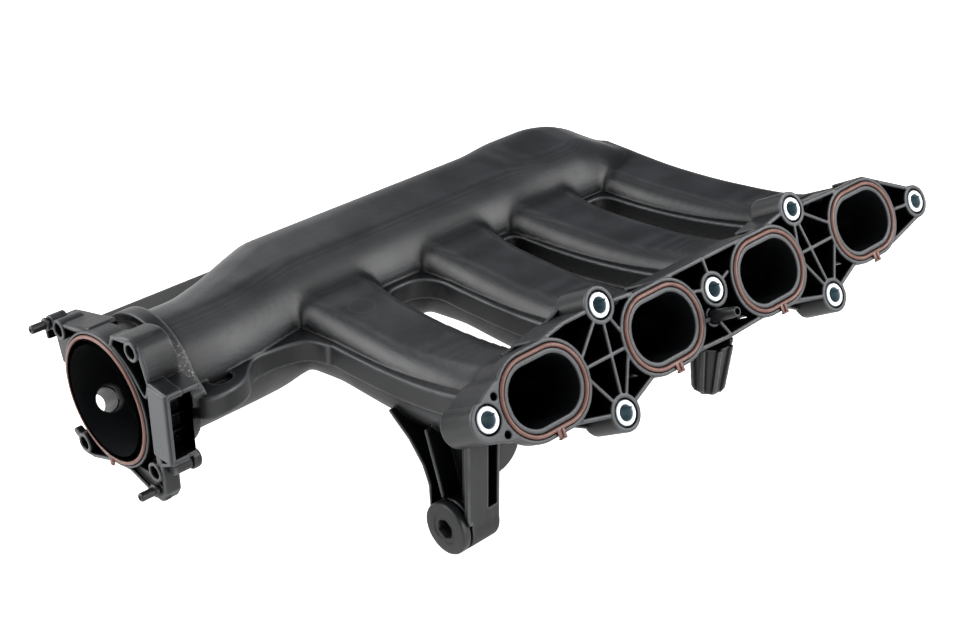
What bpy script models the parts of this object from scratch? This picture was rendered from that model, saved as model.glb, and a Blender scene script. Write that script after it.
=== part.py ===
"""Moulded plastic intake manifold for a four-cylinder engine.

Two shells are welded along a flat seam: a plenum with a round throttle neck along the back, and four
short runners that bend down to one leaning cylinder-head flange. Seals, bolt sleeves, inserts, pegs,
a hose nipple and a screw-out support bush are separate pieces.

Origin: middle of the row of four ports, on the head flange's sealing face.
+X runs along the ports away from the throttle, +Y from the head towards the plenum, +Z is up.
"""

import math

import bmesh
import bpy
from mathutils import Matrix, Vector

# ---- Driving dimensions, in metres ----------------------------------------------------------------
GAP = 0.0003            # clearance between neighbouring pieces
OVERLAP = 0.002         # how far joined or cutting shapes run into each other
WALL = 0.003            # moulded wall thickness

PORT_PITCH = 0.096      # cylinder spacing
PORT_COUNT = 4
PORT_HALF = (0.02505, 0.01705)   # half width and half height of a port opening
PORT_CORNER = 0.0167
FLANGE_LEAN = math.radians(31.5)  # how far the sealing face leans back from vertical
LIP = 0.0029            # raised ring between port and seal groove
GROOVE = 0.0029         # seal groove width
OUTER_LIP = 0.0024
GROOVE_DEPTH = 0.003
BOSS_DEPTH = 0.026      # depth of the solid ring round each port
WEB_DEPTH = 0.022       # depth of the ribbed web between the ports
WEB_FLOOR = 0.003
WEB_WALL = 0.0024
RIB = 0.0019
RIB_SET_BACK = 0.0002   # ribs stop this far below the sealing face

SLEEVE_OUTER = 0.00717
SLEEVE_BORE = 0.00465
SLEEVE_LENGTH = 0.0225
SLEEVE_SLIT = 0.0008     # width of the rolled sleeve's seam, and how far round it lies
SLEEVE_SLIT_TURN = 0.45
SLEEVE_BOSS = 0.0108
SLEEVE_RECESS = (0.0081, 0.0015)  # radius and depth of the relief round a sleeve's end

RUNNER_HALF = (0.028, 0.020)
RUNNER_CORNER = 0.0195
RUNNER_DEEPER = 0.0050   # how much deeper than its roof a runner's floor is, at the plenum
RUNNER_LEVEL = -0.0275   # height of the seam and of the runner's level stretch
RUNNER_BEND = (0.036, 0.062, 0.120)  # how far back the bend's control points lie
SEAM_BEND = (0.036, 0.090, 0.165)    # the seam drops more gently than the runner
RUNNER_END = 0.165       # where the sideways drift ends
RUNNER_ROOT = 0.205      # where a runner ends inside the plenum
RUNNER_DRIFT = (0.0, 0.002, -0.0165, -0.027)  # sideways shift of each runner by the time it levels

PLENUM_Y = 0.213
PLENUM_HALF = (0.044, 0.0357)
PLENUM_CORNER = 0.034
NECK_Y = 0.1925
NECK_RADIUS = 0.0365
NECK_BORE = 0.033
THROTTLE_X = -0.292
ARCH_X = -0.262          # plane where the upper shell ends on the neck
ARCH_RADIUS = 0.0405

SEAM_BELOW = 0.005       # thickness of the lower shell's weld flange
SEAM_ABOVE = 0.0088      # and of the upper shell's
FRONT_LOBE = (           # plan outline of the weld flanges from the neck round to the first runner
    (-0.2627, 0.1447), (-0.2584, 0.1405), (-0.2496, 0.1390), (-0.2381, 0.1407), (-0.2289, 0.1448),
    (-0.2233, 0.1512), (-0.2144, 0.1590), (-0.1909, 0.1564), (-0.1798, 0.1511), (-0.1767, 0.1379),
)
SEAM_OUT = 0.0045        # how far they stand out of the wall

RING_POINTS = 20
TURN_POINTS = 16

PORT_X = [(i - (PORT_COUNT - 1) / 2) * PORT_PITCH for i in range(PORT_COUNT)]
HEAD = Matrix.Rotation(math.pi / 2 - FLANGE_LEAN, 4, "X")  # x along the ports, y up the face, z out of it

SLEEVES = (               # each bolt sleeve's place on the sealing face
    (PORT_X[0] - 0.0413, 0.0004),
    (PORT_X[0] + 0.0570, 0.0275),
    (PORT_X[0] + 0.0470, -0.0320),
    (PORT_X[1] + 0.0475, 0.0056),
    (PORT_X[2] + 0.0377, 0.0270),
    (PORT_X[2] + 0.0470, -0.0325),
    (PORT_X[3] + 0.0562, -0.0051),
)
TUBE_AT = (PORT_X[1] + 0.041, -0.0087)   # locating tube on the sealing face
TUBE_HEIGHT = 0.017

THROTTLE_CENTRE = Vector((THROTTLE_X, NECK_Y, -0.0285))
THROTTLE_HOLES = ((0.0417, 0.0274), (-0.0322, 0.0446), (-0.0427, -0.0268), (0.0300, -0.0425))
HOLE_DEPTH = 0.0155      # depth of the bosses round those holes
PLUG_AT = (-0.0530, -0.0205)
PLUG_HEAD = 0.0060
PLUG_SHANK = 0.0028
PLUG_LENGTH = 0.0045
THROTTLE_PEGS = ((0.0530, 0.0270), (-0.0430, -0.0380))
HOLE_BOSS = 0.0062
INSERT_OUTER = 0.0042
INSERT_BORE = 0.0026
INSERT_START = 0.0040
INSERT_LENGTH = 0.0100

NIPPLE_X = THROTTLE_X + 0.018
NIPPLE_ANGLE = math.radians(-35)  # below +Y, on the far side of the neck
NIPPLE_OUTER = 0.0105
NIPPLE_BORE = 0.0080
NIPPLE_START = 0.0385    # distances from the neck's axis
NIPPLE_REACH = 0.0495

LEG_X = (-0.176, -0.152)
FOOT_CENTRE = (0.040, -0.093)     # y and z of the foot's screw axis
FOOT_RADIUS = 0.0157
FOOT_BOSS_X = (-0.173, -0.152)
BUSH_X = (-0.180, -0.1745)        # the bush's disc, one millimetre off the boss
BUSH_SHANK = 0.0082
CLIP_OUTER = 0.0062
CLIP_X = (-0.172, -0.162)
HEX_ACROSS = 0.0095

POST_AT = (0.0005, 0.003)
POST_Z = (-0.0625, -0.030)
POST_RADIUS = (0.0103, 0.0135)


# ---- Blender helpers ------------------------------------------------------------------------------
def clear_scene():
    for obj in list(bpy.data.objects):
        bpy.data.objects.remove(obj)
    for collection in list(bpy.data.collections):
        bpy.data.collections.remove(collection)


def new_collection(name, shown):
    collection = bpy.data.collections.new(name)
    collection.hide_render = not shown
    bpy.context.scene.collection.children.link(collection)
    return collection


def new_material(name, colour, roughness, metallic):
    material = bpy.data.materials.new(name)
    material.use_nodes = True
    shader = material.node_tree.nodes["Principled BSDF"]
    shader.inputs["Base Color"].default_value = (*colour, 1)
    shader.inputs["Roughness"].default_value = roughness
    shader.inputs["Metallic"].default_value = metallic
    return material


def tool_object(name, mesh, place=None):
    """A helper solid that Booleans read; it never shows."""
    obj = bpy.data.objects.new(name, mesh)
    TOOLS.objects.link(obj)
    obj.hide_render = True
    obj.display_type = "WIRE"
    if place is not None:
        obj.matrix_world = place
    return obj


def finish_piece(obj, name, material):
    """Moves a helper solid into the model as a shown piece."""
    TOOLS.objects.unlink(obj)
    MODEL.objects.link(obj)
    obj.name = name
    obj.data.name = name
    obj.hide_render = False
    obj.display_type = "TEXTURED"
    obj.data.materials.clear()
    obj.data.materials.append(material)
    obj.data.shade_smooth()
    obj.data.set_sharp_from_angle(angle=math.radians(35))
    obj.parent = ROOT
    return obj


def loft(name, rings, place=None):
    """A closed solid through rings of points, with flat ends."""
    work = bmesh.new()
    rows = [[work.verts.new(point) for point in ring] for ring in rings]
    for low, high in zip(rows, rows[1:]):
        for i in range(len(low)):
            j = (i + 1) % len(low)
            work.faces.new((low[i], low[j], high[j], high[i]))
    work.faces.new(rows[0][::-1])
    work.faces.new(rows[-1])
    bmesh.ops.recalc_face_normals(work, faces=work.faces)
    mesh = bpy.data.meshes.new(name)
    work.to_mesh(mesh)
    work.free()
    return tool_object(name, mesh, place)


def cylinder(name, radius, low, high, place, end_radius=None, segments=TURN_POINTS):
    """A cylinder or cone along local z from low to high."""
    work = bmesh.new()
    bmesh.ops.create_cone(
        work,
        cap_ends=True,
        segments=segments,
        radius1=radius,
        radius2=radius if end_radius is None else end_radius,
        depth=high - low,
        matrix=Matrix.Translation((0, 0, (low + high) / 2)),
    )
    mesh = bpy.data.meshes.new(name)
    work.to_mesh(mesh)
    work.free()
    return tool_object(name, mesh, place)


def block(name, low, high, place=None):
    work = bmesh.new()
    bmesh.ops.create_cube(work, size=1)
    mesh = bpy.data.meshes.new(name)
    work.to_mesh(mesh)
    work.free()
    middle = [(a + b) / 2 for a, b in zip(low, high)]
    side = [b - a for a, b in zip(low, high)]
    mesh.transform(Matrix.Translation(middle) @ Matrix.Diagonal((*side, 1)))
    return tool_object(name, mesh, place)


def plate(name, outline, low, high, place=None):
    """A flat outline in local xy, extruded from low to high along local z."""
    curve = bpy.data.curves.new(name, "CURVE")
    curve.dimensions = "2D"
    curve.fill_mode = "BOTH"
    curve.extrude = (high - low) / 2
    spline = curve.splines.new("POLY")
    spline.points.add(len(outline) - 1)
    for point, (x, y) in zip(spline.points, outline):
        point.co = (x, y, 0, 1)
    spline.use_cyclic_u = True
    guide = bpy.data.objects.new(name + "_guide", curve)
    TOOLS.objects.link(guide)
    bpy.context.view_layer.update()
    mesh = bpy.data.meshes.new_from_object(guide.evaluated_get(bpy.context.evaluated_depsgraph_get()))
    bpy.data.objects.remove(guide)
    work = bmesh.new()
    work.from_mesh(mesh)
    bmesh.ops.remove_doubles(work, verts=work.verts, dist=1e-6)
    bmesh.ops.recalc_face_normals(work, faces=work.faces)
    work.to_mesh(mesh)
    work.free()
    mesh.transform(Matrix.Translation((0, 0, (low + high) / 2)))
    return tool_object(name, mesh, place)


def turned(name, profile, place, steps=TURN_POINTS):
    """A solid of revolution about local z from (radius, height) points, down the outside and up the bore."""
    mesh = bpy.data.meshes.new(name)
    points = [(radius, 0, height) for radius, height in profile]
    edges = [(i, (i + 1) % len(points)) for i in range(len(points))]
    mesh.from_pydata(points, edges, [])
    obj = tool_object(name, mesh, place)
    screw = obj.modifiers.new("turn", "SCREW")
    screw.axis = "Z"
    screw.steps = screw.render_steps = steps
    screw.use_merge_vertices = True
    screw.merge_threshold = 0.00001
    bake(obj)
    face_outwards(obj.data)
    return obj


def face_outwards(mesh):
    work = bmesh.new()
    work.from_mesh(mesh)
    bmesh.ops.recalc_face_normals(work, faces=work.faces)
    work.to_mesh(mesh)
    work.free()


def bake(obj):
    """Replaces an object's mesh by its evaluated mesh, in world space."""
    bpy.context.view_layer.update()
    graph = bpy.context.evaluated_depsgraph_get()
    mesh = bpy.data.meshes.new_from_object(obj.evaluated_get(graph))
    mesh.transform(obj.matrix_world)
    obj.modifiers.clear()
    obj.data = mesh
    obj.matrix_world = Matrix.Identity(4)
    return obj


def combine(target, others, operation):
    """One Boolean with each closed solid in turn; those solids are then removed."""
    for other in others:
        step = target.modifiers.new("step", "BOOLEAN")
        step.operation = operation
        step.solver = "MANIFOLD"
        step.object = other
    bake(target)
    for other in others:
        bpy.data.objects.remove(other)
    return target


def join_all(target, others):
    return combine(target, others, "UNION")


def cut(target, others, operation="DIFFERENCE"):
    return combine(target, others, operation)


def copy_tool(obj, name):
    return tool_object(name, obj.data.copy(), obj.matrix_world.copy())


# ---- Outlines -------------------------------------------------------------------------------------
def rounded_outline(half_x, half_y, corner, count=RING_POINTS):
    """A rectangle with rounded corners, as points that go round counter-clockwise."""
    corner = min(corner, 0.97 * half_x, 0.97 * half_y)
    per_corner = count // 4
    points = []
    for quarter in range(4):
        start = quarter * math.pi / 2
        side_x = 1 if quarter in (0, 3) else -1
        side_y = 1 if quarter in (0, 1) else -1
        centre_x = side_x * (half_x - corner)
        centre_y = side_y * (half_y - corner)
        for i in range(per_corner):
            angle = start + math.pi / 2 * i / (per_corner - 1)
            points.append((centre_x + corner * math.cos(angle), centre_y + corner * math.sin(angle)))
    return points


def port_outline(offset):
    return rounded_outline(PORT_HALF[0] + offset, PORT_HALF[1] + offset, PORT_CORNER + offset)


def arc(centre, radius, start, end, count):
    """Points on an arc, angles in degrees."""
    angles = [math.radians(start + (end - start) * i / (count - 1)) for i in range(count)]
    return [(centre[0] + radius * math.cos(a), centre[1] + radius * math.sin(a)) for a in angles]


def ease(value):
    value = min(1.0, max(0.0, value))
    return value * value * (3 - 2 * value)


def runner_x(index, y):
    """Sideways place of a runner's centreline."""
    return PORT_X[index] + RUNNER_DRIFT[index] * ease(y / RUNNER_END)


def bend(reach, steps):
    """(point, tangent) pairs in the YZ plane, leaving the sealing face squarely and ending level."""
    p0 = Vector((0.0, 0.0))
    p1 = Vector((reach[0], -reach[0] * math.tan(FLANGE_LEAN)))
    p2 = Vector((reach[1], RUNNER_LEVEL))
    p3 = Vector((reach[2], RUNNER_LEVEL))
    stations = []
    for i in range(steps + 1):
        t = i / steps
        s = 1 - t
        point = s**3 * p0 + 3 * s * s * t * p1 + 3 * s * t * t * p2 + t**3 * p3
        along = s * s * (p1 - p0) + 2 * s * t * (p2 - p1) + t * t * (p3 - p2)
        stations.append((point, along.normalized()))
    return stations


def runner_stations():
    """The runner's centreline from the sealing face to inside the plenum."""
    level = Vector((1, 0))
    stations = bend(RUNNER_BEND, 6)
    stations += [(Vector((y, RUNNER_LEVEL)), level) for y in (0.140, 0.158, 0.177, RUNNER_ROOT)]
    return stations


def runner_rings(index, shrink, start):
    """Rings across a runner. Start is how far the first ring is moved out of the sealing face."""
    rings = []
    for number, (point, along) in enumerate(runner_stations()):
        if number == 0:
            point = point - along * start
        flare = 0 if index == PORT_COUNT - 1 else ease((point[0] - 0.135) / 0.040)
        half_x = RUNNER_HALF[0] - shrink + 0.006 * flare
        half_y = RUNNER_HALF[1] - shrink + 0.0035 * flare
        deeper = 1 + RUNNER_DEEPER / RUNNER_HALF[1] * ease(point[0] / 0.060)
        corner = RUNNER_CORNER - shrink
        x = runner_x(index, point[0])
        ring = []
        for across, up in rounded_outline(half_x, half_y, corner):
            up = up if up > 0 else up * deeper
            ring.append((x + across, point[0] - along[1] * up, point[1] + along[0] * up))
        rings.append(ring)
    return rings


def plenum_stations():
    """(x, y centre, half width, height above seam, depth below seam, corner) along neck and plenum."""
    half_y, half_z = PLENUM_HALF
    neck = NECK_RADIUS
    return (
        (THROTTLE_X + 0.004, NECK_Y, neck, neck, neck, neck),
        (-0.228, NECK_Y, neck, neck, neck, neck),
        (-0.204, 0.1965, 0.0375, 0.0360, 0.0390, 0.036),
        (-0.182, 0.2050, 0.0405, 0.0360, 0.0410, 0.034),
        (-0.158, PLENUM_Y, half_y, half_z, half_z + 0.0040, PLENUM_CORNER),
        (0.026, PLENUM_Y, half_y, half_z, half_z, PLENUM_CORNER),
        (0.048, PLENUM_Y, half_y, half_z + 0.003, half_z, PLENUM_CORNER),
        (0.082, PLENUM_Y, half_y, half_z + 0.003, half_z, PLENUM_CORNER),
        (0.100, PLENUM_Y, half_y, half_z - 0.001, half_z - 0.003, PLENUM_CORNER),
        (0.120, PLENUM_Y, half_y - 0.003, half_z - 0.010, half_z - 0.010, 0.030),
        (0.136, PLENUM_Y, half_y - 0.007, half_z - 0.021, half_z - 0.021, 0.014),
        (0.145, PLENUM_Y, half_y - 0.011, half_z - 0.030, half_z - 0.030, 0.005),
    )


def plenum_rings(shrink):
    rings = []
    stations = plenum_stations()
    for number, (x, y, half_y, up, down, corner) in enumerate(stations):
        if shrink and number == 0:
            x -= 0.010
        if shrink and number == len(stations) - 1:
            x -= shrink
        points = []
        upper = rounded_outline(half_y - shrink, up - shrink, max(corner - shrink, 0.002))
        lower = rounded_outline(half_y - shrink, down - shrink, max(corner - shrink, 0.002))
        for i, (top, bottom) in enumerate(zip(upper, lower)):
            across, height = top if i < RING_POINTS // 2 else bottom
            points.append((x, y + across, RUNNER_LEVEL + height))
        rings.append(points)
    return rings


def seam_outline():
    """Plan outline of the flat pair of weld flanges, with a rounded bay between neighbouring runners."""
    reach = RUNNER_HALF[0] + SEAM_OUT - 0.001
    front = PLENUM_Y - PLENUM_HALF[0] - SEAM_OUT
    rear = PLENUM_Y + PLENUM_HALF[0] + SEAM_OUT
    low = 0.100
    points = [(ARCH_X - 0.004, rear), (ARCH_X - 0.004, 0.1480)]
    points += FRONT_LOBE
    for index in range(PORT_COUNT):
        points += [(runner_x(index, y) - reach, y) for y in (0.125, low)]
        points += [(runner_x(index, y) + reach, y) for y in (low, 0.125)]
        if index < PORT_COUNT - 1:
            left = runner_x(index, front) + reach
            right = runner_x(index + 1, front) - reach
            half = (right - left) / 2
            points += arc((left + half, front - half), half, 180, 0, 7)
    end = 0.1495
    points += arc((end - 0.002, 0.150), 0.006, 180, 135, 2)
    points += arc((end - 0.030, front + 0.034), 0.030, -30, 0, 3)
    points += arc((end - 0.045, rear - 0.045), 0.045, 0, 90, 6)
    return points


# ---- Shell bodies ---------------------------------------------------------------------------------
def seam_strip(index):
    """The pair of weld flanges along one runner's sloping stretch."""
    reach = RUNNER_HALF[0] + SEAM_OUT - 0.001
    low, high = -SEAM_BELOW, SEAM_ABOVE
    rings = []
    for point, along in bend(SEAM_BEND, 7)[1:6]:
        x = runner_x(index, point[0])
        corners = ((-reach, low), (reach, low), (reach, high), (-reach, high))
        rings.append([
            (x + across, point[0] - along[1] * up, point[1] + along[0] * up) for across, up in corners
        ])
    return loft("seam_strip", rings)


def outer_body():
    """Plenum, neck, runners and weld flanges as one solid, before it is hollowed or split."""
    body = loft("outer", plenum_rings(0))
    others = [loft("runner", runner_rings(i, 0, 0.0)) for i in range(PORT_COUNT)]
    others += [seam_strip(i) for i in range(PORT_COUNT)]
    place = Matrix.Translation((0, 0, RUNNER_LEVEL))
    others.append(plate("seam_plate", seam_outline(), -SEAM_BELOW, SEAM_ABOVE, place))
    turn = Matrix.Translation((ARCH_X, NECK_Y, RUNNER_LEVEL)) @ Matrix.Rotation(math.pi / 2, 4, "Y")
    others.append(cylinder("arch", ARCH_RADIUS, -0.0045, 0.0045, turn))
    return join_all(body, others)


def cavity():
    """The air path: plenum, neck bore and four runners."""
    body = loft("cavity", plenum_rings(WALL))
    others = [loft("port", runner_rings(i, WALL, 0.010)) for i in range(PORT_COUNT)]
    return join_all(body, others)


def upper_region(gap):
    """Everything above the seam and ahead of the throttle, behind the head flange."""
    profile = [(point[0], point[1] + gap) for point, along in bend(SEAM_BEND, 7) if point[0] > 0.024]
    first = profile[0]
    lean = math.sin(FLANGE_LEAN)
    profile.insert(0, (first[0] + gap + 0.06 * lean, first[1] + 0.06 * math.cos(FLANGE_LEAN)))
    profile[1] = (first[0] + gap, first[1])
    profile += [(0.300, RUNNER_LEVEL + gap), (0.300, 0.060)]
    # The profile's plane is YZ, and it is extruded along X.
    place = Matrix(((0, 0, 1, 0), (1, 0, 0, 0), (0, 1, 0, 0), (0, 0, 0, 1)))
    return plate("upper_region", profile, ARCH_X + gap, 0.300, place)


# ---- Head flange ----------------------------------------------------------------------------------
def head_rib(a, b, half=RIB / 2, top=-RIB_SET_BACK, depth=WEB_DEPTH - 0.001):
    """A straight rib in the web, from a to b on the sealing face."""
    along = Vector((b[0] - a[0], b[1] - a[1]))
    middle = Vector(((a[0] + b[0]) / 2, (a[1] + b[1]) / 2, 0))
    turn = Matrix.Rotation(math.atan2(along.y, along.x), 4, "Z")
    reach = along.length / 2
    place = HEAD @ Matrix.Translation(middle) @ turn
    return block("rib", (-reach, -half, -depth), (reach, half, top), place)


def near(port, x, y):
    """A point on the sealing face, counted from a port's centre."""
    return (PORT_X[port] + x, y)


def diagonal_web(port, top, bottom):
    """Walls and ribs between a port and the next one, round the sleeves at top and bottom."""
    walls = [
        (near(port, 0.010, 0.0245), near(port, 0.029, 0.0275), top),
        (top, near(port + 1, -0.014, 0.0250)),
        (near(port, 0.012, -0.0235), bottom),
        (bottom, near(port + 1, -0.020, -0.0215)),
    ]
    ribs = [
        (top, near(port, 0.0320, 0.0060)),
        (top, bottom),
        (near(port, 0.0320, 0.0), near(port + 1, -0.0320, 0.0)),
        (near(port, 0.0310, -0.0055), bottom),
        (near(port + 1, -0.0320, -0.0040), bottom),
        (top, near(port + 1, -0.0310, 0.0090)),
    ]
    return walls, ribs


def head_walls():
    """(walls, ribs) of the whole web, as lines on the sealing face."""
    walls, ribs = [], []
    for port, top, bottom in ((0, SLEEVES[1], SLEEVES[2]), (2, SLEEVES[4], SLEEVES[5])):
        more_walls, more_ribs = diagonal_web(port, top, bottom)
        walls += more_walls
        ribs += more_ribs
    sleeve = SLEEVES[3]
    walls += [
        (near(1, 0.005, 0.0245), near(2, -0.005, 0.0245)),
        (near(1, 0.020, -0.0215), near(1, 0.048, -0.0230), near(2, -0.018, -0.0225)),
    ]
    ribs += [
        (near(1, 0.0475, 0.0245), sleeve),
        (near(2, -0.0330, 0.0110), sleeve),
        (near(1, 0.0310, 0.0100), sleeve),
        (near(1, 0.0320, -0.0085), TUBE_AT),
        (TUBE_AT, near(1, 0.048, -0.0230)),
    ]
    ear = SLEEVES[6]
    walls += [
        (near(3, 0.014, 0.0240), (ear[0] - 0.002, ear[1] + 0.0095)),
        (near(3, 0.018, -0.0220), (ear[0] - 0.002, ear[1] - 0.0095)),
    ]
    ribs += [(near(3, 0.0320, -0.0030), ear)]
    return walls, ribs


def web_floor():
    """The thin floor behind the ribs."""
    outline = [near(0, 0.0, 0.0240), near(0, 0.029, 0.0270), (SLEEVES[1][0], SLEEVES[1][1] + 0.008)]
    outline += [near(1, -0.010, 0.0240), near(2, 0.018, 0.0240), (SLEEVES[4][0], SLEEVES[4][1] + 0.008)]
    outline += [near(3, 0.010, 0.0240), (SLEEVES[6][0], SLEEVES[6][1] + 0.009)]
    outline += [(SLEEVES[6][0], SLEEVES[6][1] - 0.009), near(3, 0.010, -0.0210)]
    outline += [near(3, -0.018, -0.0210), (SLEEVES[5][0], SLEEVES[5][1] - 0.008)]
    outline += [near(2, 0.012, -0.0220), near(1, 0.048, -0.0220), near(1, -0.018, -0.0210)]
    outline += [(SLEEVES[2][0], SLEEVES[2][1] - 0.008), near(0, 0.012, -0.0220), near(0, 0.0, -0.0220)]
    return plate("web_floor", outline[::-1], -WEB_DEPTH - WEB_FLOOR, -WEB_DEPTH, HEAD)


def side_lug():
    """The solid rounded lug that holds the first sleeve, with two pin holes beside it."""
    x, y = SLEEVES[0]
    outline = arc((x, y), SLEEVE_BOSS + 0.0008, 115, 245, 7)
    outline += [near(0, -0.018, -0.0225), near(0, -0.018, 0.0225)]
    return plate("side_lug", outline, -0.028, 0, HEAD)


def head_solid():
    """Port bosses, sleeve bosses, walls and ribs, ready to join the lower shell."""
    outer = LIP + GROOVE + OUTER_LIP
    parts = []
    for x in PORT_X:
        place = HEAD @ Matrix.Translation((x, 0, 0))
        parts.append(plate("port_boss", port_outline(outer), -BOSS_DEPTH, 0, place))
    for x, y in SLEEVES[1:]:
        place = HEAD @ Matrix.Translation((x, y, 0))
        parts.append(cylinder("sleeve_boss", SLEEVE_BOSS, -WEB_DEPTH - WEB_FLOOR + 0.0005, -0.0001, place))
    parts.append(side_lug())
    parts.append(web_floor())
    walls, ribs = head_walls()
    for line in walls:
        for a, b in zip(line, line[1:]):
            parts.append(head_rib(a, b, WEB_WALL / 2, -0.0004, WEB_DEPTH + WEB_FLOOR - 0.0006))
    for a, b in ribs:
        parts.append(head_rib(a, b))
    place = HEAD @ Matrix.Translation((*TUBE_AT, 0))
    parts.append(cylinder("tube_boss", 0.0062, -WEB_DEPTH - 0.001, -0.002, place, segments=16))
    return parts


def head_cuts():
    """Seal grooves and the holes that the sleeves, tube and pins sit in."""
    cuts = []
    for x in PORT_X:
        place = HEAD @ Matrix.Translation((x, 0, 0))
        outer = plate("groove", port_outline(LIP + GROOVE), -GROOVE_DEPTH, OVERLAP, place)
        bake(outer)
        inner = plate("groove_core", port_outline(LIP), -GROOVE_DEPTH - OVERLAP, 2 * OVERLAP, place)
        cuts.append(cut(outer, [inner]))
    recess, depth = SLEEVE_RECESS
    for x, y in SLEEVES:
        place = HEAD @ Matrix.Translation((x, y, 0))
        cuts.append(cylinder("sleeve_hole", SLEEVE_OUTER + GAP, -0.040, OVERLAP, place))
        cuts.append(cylinder("sleeve_relief", recess, -depth, OVERLAP, place))
    place = HEAD @ Matrix.Translation((*TUBE_AT, 0))
    cuts.append(cylinder("tube_hole", 0.0040 + GAP, -0.012, OVERLAP, place, segments=16))
    for x, y in (near(0, -0.0327, 0.0098), near(0, -0.0331, -0.0113)):
        place = HEAD @ Matrix.Translation((x, y, 0))
        cuts.append(cylinder("pin_hole", 0.0020, -0.010, OVERLAP, place, segments=12))
    return cuts


# ---- Throttle flange ------------------------------------------------------------------------------
# Its own frame: x is the row's +Y, y is +Z, and z runs into the neck from the sealing face.
THROTTLE = Matrix.Translation(THROTTLE_CENTRE) @ Matrix(
    ((0, 0, 1, 0), (1, 0, 0, 0), (0, 1, 0, 0), (0, 0, 0, 1))
)
FLANGE_OUTLINE = (
    (0.016, 0.037), (0.044, 0.0300), (0.0565, 0.0268), (0.0585, 0.020), (0.0535, -0.001),
    (0.040, 0.000), (0.037, -0.036), (0.031, -0.0495), (0.022, -0.0485), (0.000, -0.0405),
    (-0.016, -0.0385), (-0.040, -0.0445), (-0.0455, -0.0445), (-0.0492, -0.0385), (-0.0492, -0.020),
    (-0.0605, -0.014), (-0.0605, 0.029), (-0.0440, 0.0300), (-0.0395, 0.0430), (-0.0305, 0.0490),
    (-0.0124, 0.0455), (-0.0100, 0.0390),
)
FLANGE_DEPTH = 0.0115    # depth of the flange's ribbed plate
FLANGE_FLOOR = 0.003
COVER_BACK = 0.0215      # depth of the cover behind the face
FLANGE_BACK = 0.0172     # depth of the bracket box
COVER_OUTLINE = (
    (-0.0100, 0.0390), (-0.0124, 0.0455), (-0.0305, 0.0490), (-0.0395, 0.0430), (-0.0430, 0.0290),
    (-0.0400, 0.0150), (-0.0280, 0.0300),
)
BRACKET = ((-0.0605, -0.0140), (-0.0445, 0.0290))   # the box at the flange's engine side
BRACKET_WALL = 0.0032
CORNER_BACK = 0.0062     # the flange's low engine-side corner is this thin
CORNER_FLOOR = (
    (-0.0487, -0.0270), (-0.0487, -0.0380), (-0.0453, -0.0440), (-0.0400, -0.0440), (-0.0160, -0.0380),
    (-0.0120, -0.0330), (-0.0380, -0.0240),
)
CORNER = (((-0.0620, -0.0470), (-0.0385, -0.0315)), ((-0.0400, -0.0470), (-0.0180, -0.0345)))


def outline_walls(outline, half, top, depth, frame):
    """A wall along each side of a closed outline."""
    walls = []
    for a, b in zip(outline, outline[1:] + outline[:1]):
        along = Vector((b[0] - a[0], b[1] - a[1]))
        reach = along.length / 2 + half * 0.8
        turn = Matrix.Rotation(math.atan2(along.y, along.x), 4, "Z")
        place = frame @ Matrix.Translation(((a[0] + b[0]) / 2, (a[1] + b[1]) / 2, 0)) @ turn
        walls.append(block("wall", (-reach, -half, top), (reach, half, depth), place))
    return walls


def throttle_solid():
    collar = NECK_BORE + LIP + GROOVE + OUTER_LIP - 0.0007
    parts = [cylinder("collar", collar, 0, FLANGE_DEPTH + 0.004, THROTTLE, segments=36)]
    floor = plate("floor", FLANGE_OUTLINE[::-1], FLANGE_DEPTH - FLANGE_FLOOR, FLANGE_DEPTH, THROTTLE)
    parts.append(floor)
    low, high = CORNER_BACK - FLANGE_FLOOR, CORNER_BACK + OVERLAP
    parts.append(plate("corner_floor", CORNER_FLOOR[::-1], low, high, THROTTLE))
    parts += outline_walls(FLANGE_OUTLINE, 0.0012, 0.0008, FLANGE_DEPTH - 0.0008, THROTTLE)
    parts.append(plate("cover", COVER_OUTLINE[::-1], 0.0060, COVER_BACK, THROTTLE))
    for x, y in THROTTLE_HOLES:
        place = THROTTLE @ Matrix.Translation((x, y, 0))
        parts.append(cylinder("hole_boss", HOLE_BOSS, -0.0002, HOLE_DEPTH, place))
    for x, y in THROTTLE_PEGS:
        place = THROTTLE @ Matrix.Translation((x, y, 0))
        parts.append(cylinder("peg_boss", 0.0048, 0.0012, FLANGE_DEPTH, place))
    low, high = BRACKET
    parts.append(block("bracket", (low[0], low[1], -0.0004), (high[0], high[1], FLANGE_BACK), THROTTLE))
    side = ((-0.0494, -0.0268, 0.0010), (-0.0440, -0.0130, HOLE_DEPTH))   # joins the low hole boss to the box
    parts.append(block("boss_side", *side, THROTTLE))
    plug = plug_frame()
    parts.append(cylinder("plug_boss", PLUG_HEAD - 0.0012, 0.0040, HOLE_DEPTH, plug, segments=16))
    place = nipple_frame()
    parts.append(cylinder("nipple_boss", NIPPLE_OUTER + 0.003, 0.030, 0.0425, place))
    return parts


def nipple_frame():
    """Local z leaves the neck square to its wall, down and away from the head."""
    turn = Matrix.Rotation(-math.pi / 2 + NIPPLE_ANGLE, 4, "X")
    return Matrix.Translation((NIPPLE_X, NECK_Y, THROTTLE_CENTRE.z)) @ turn


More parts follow.
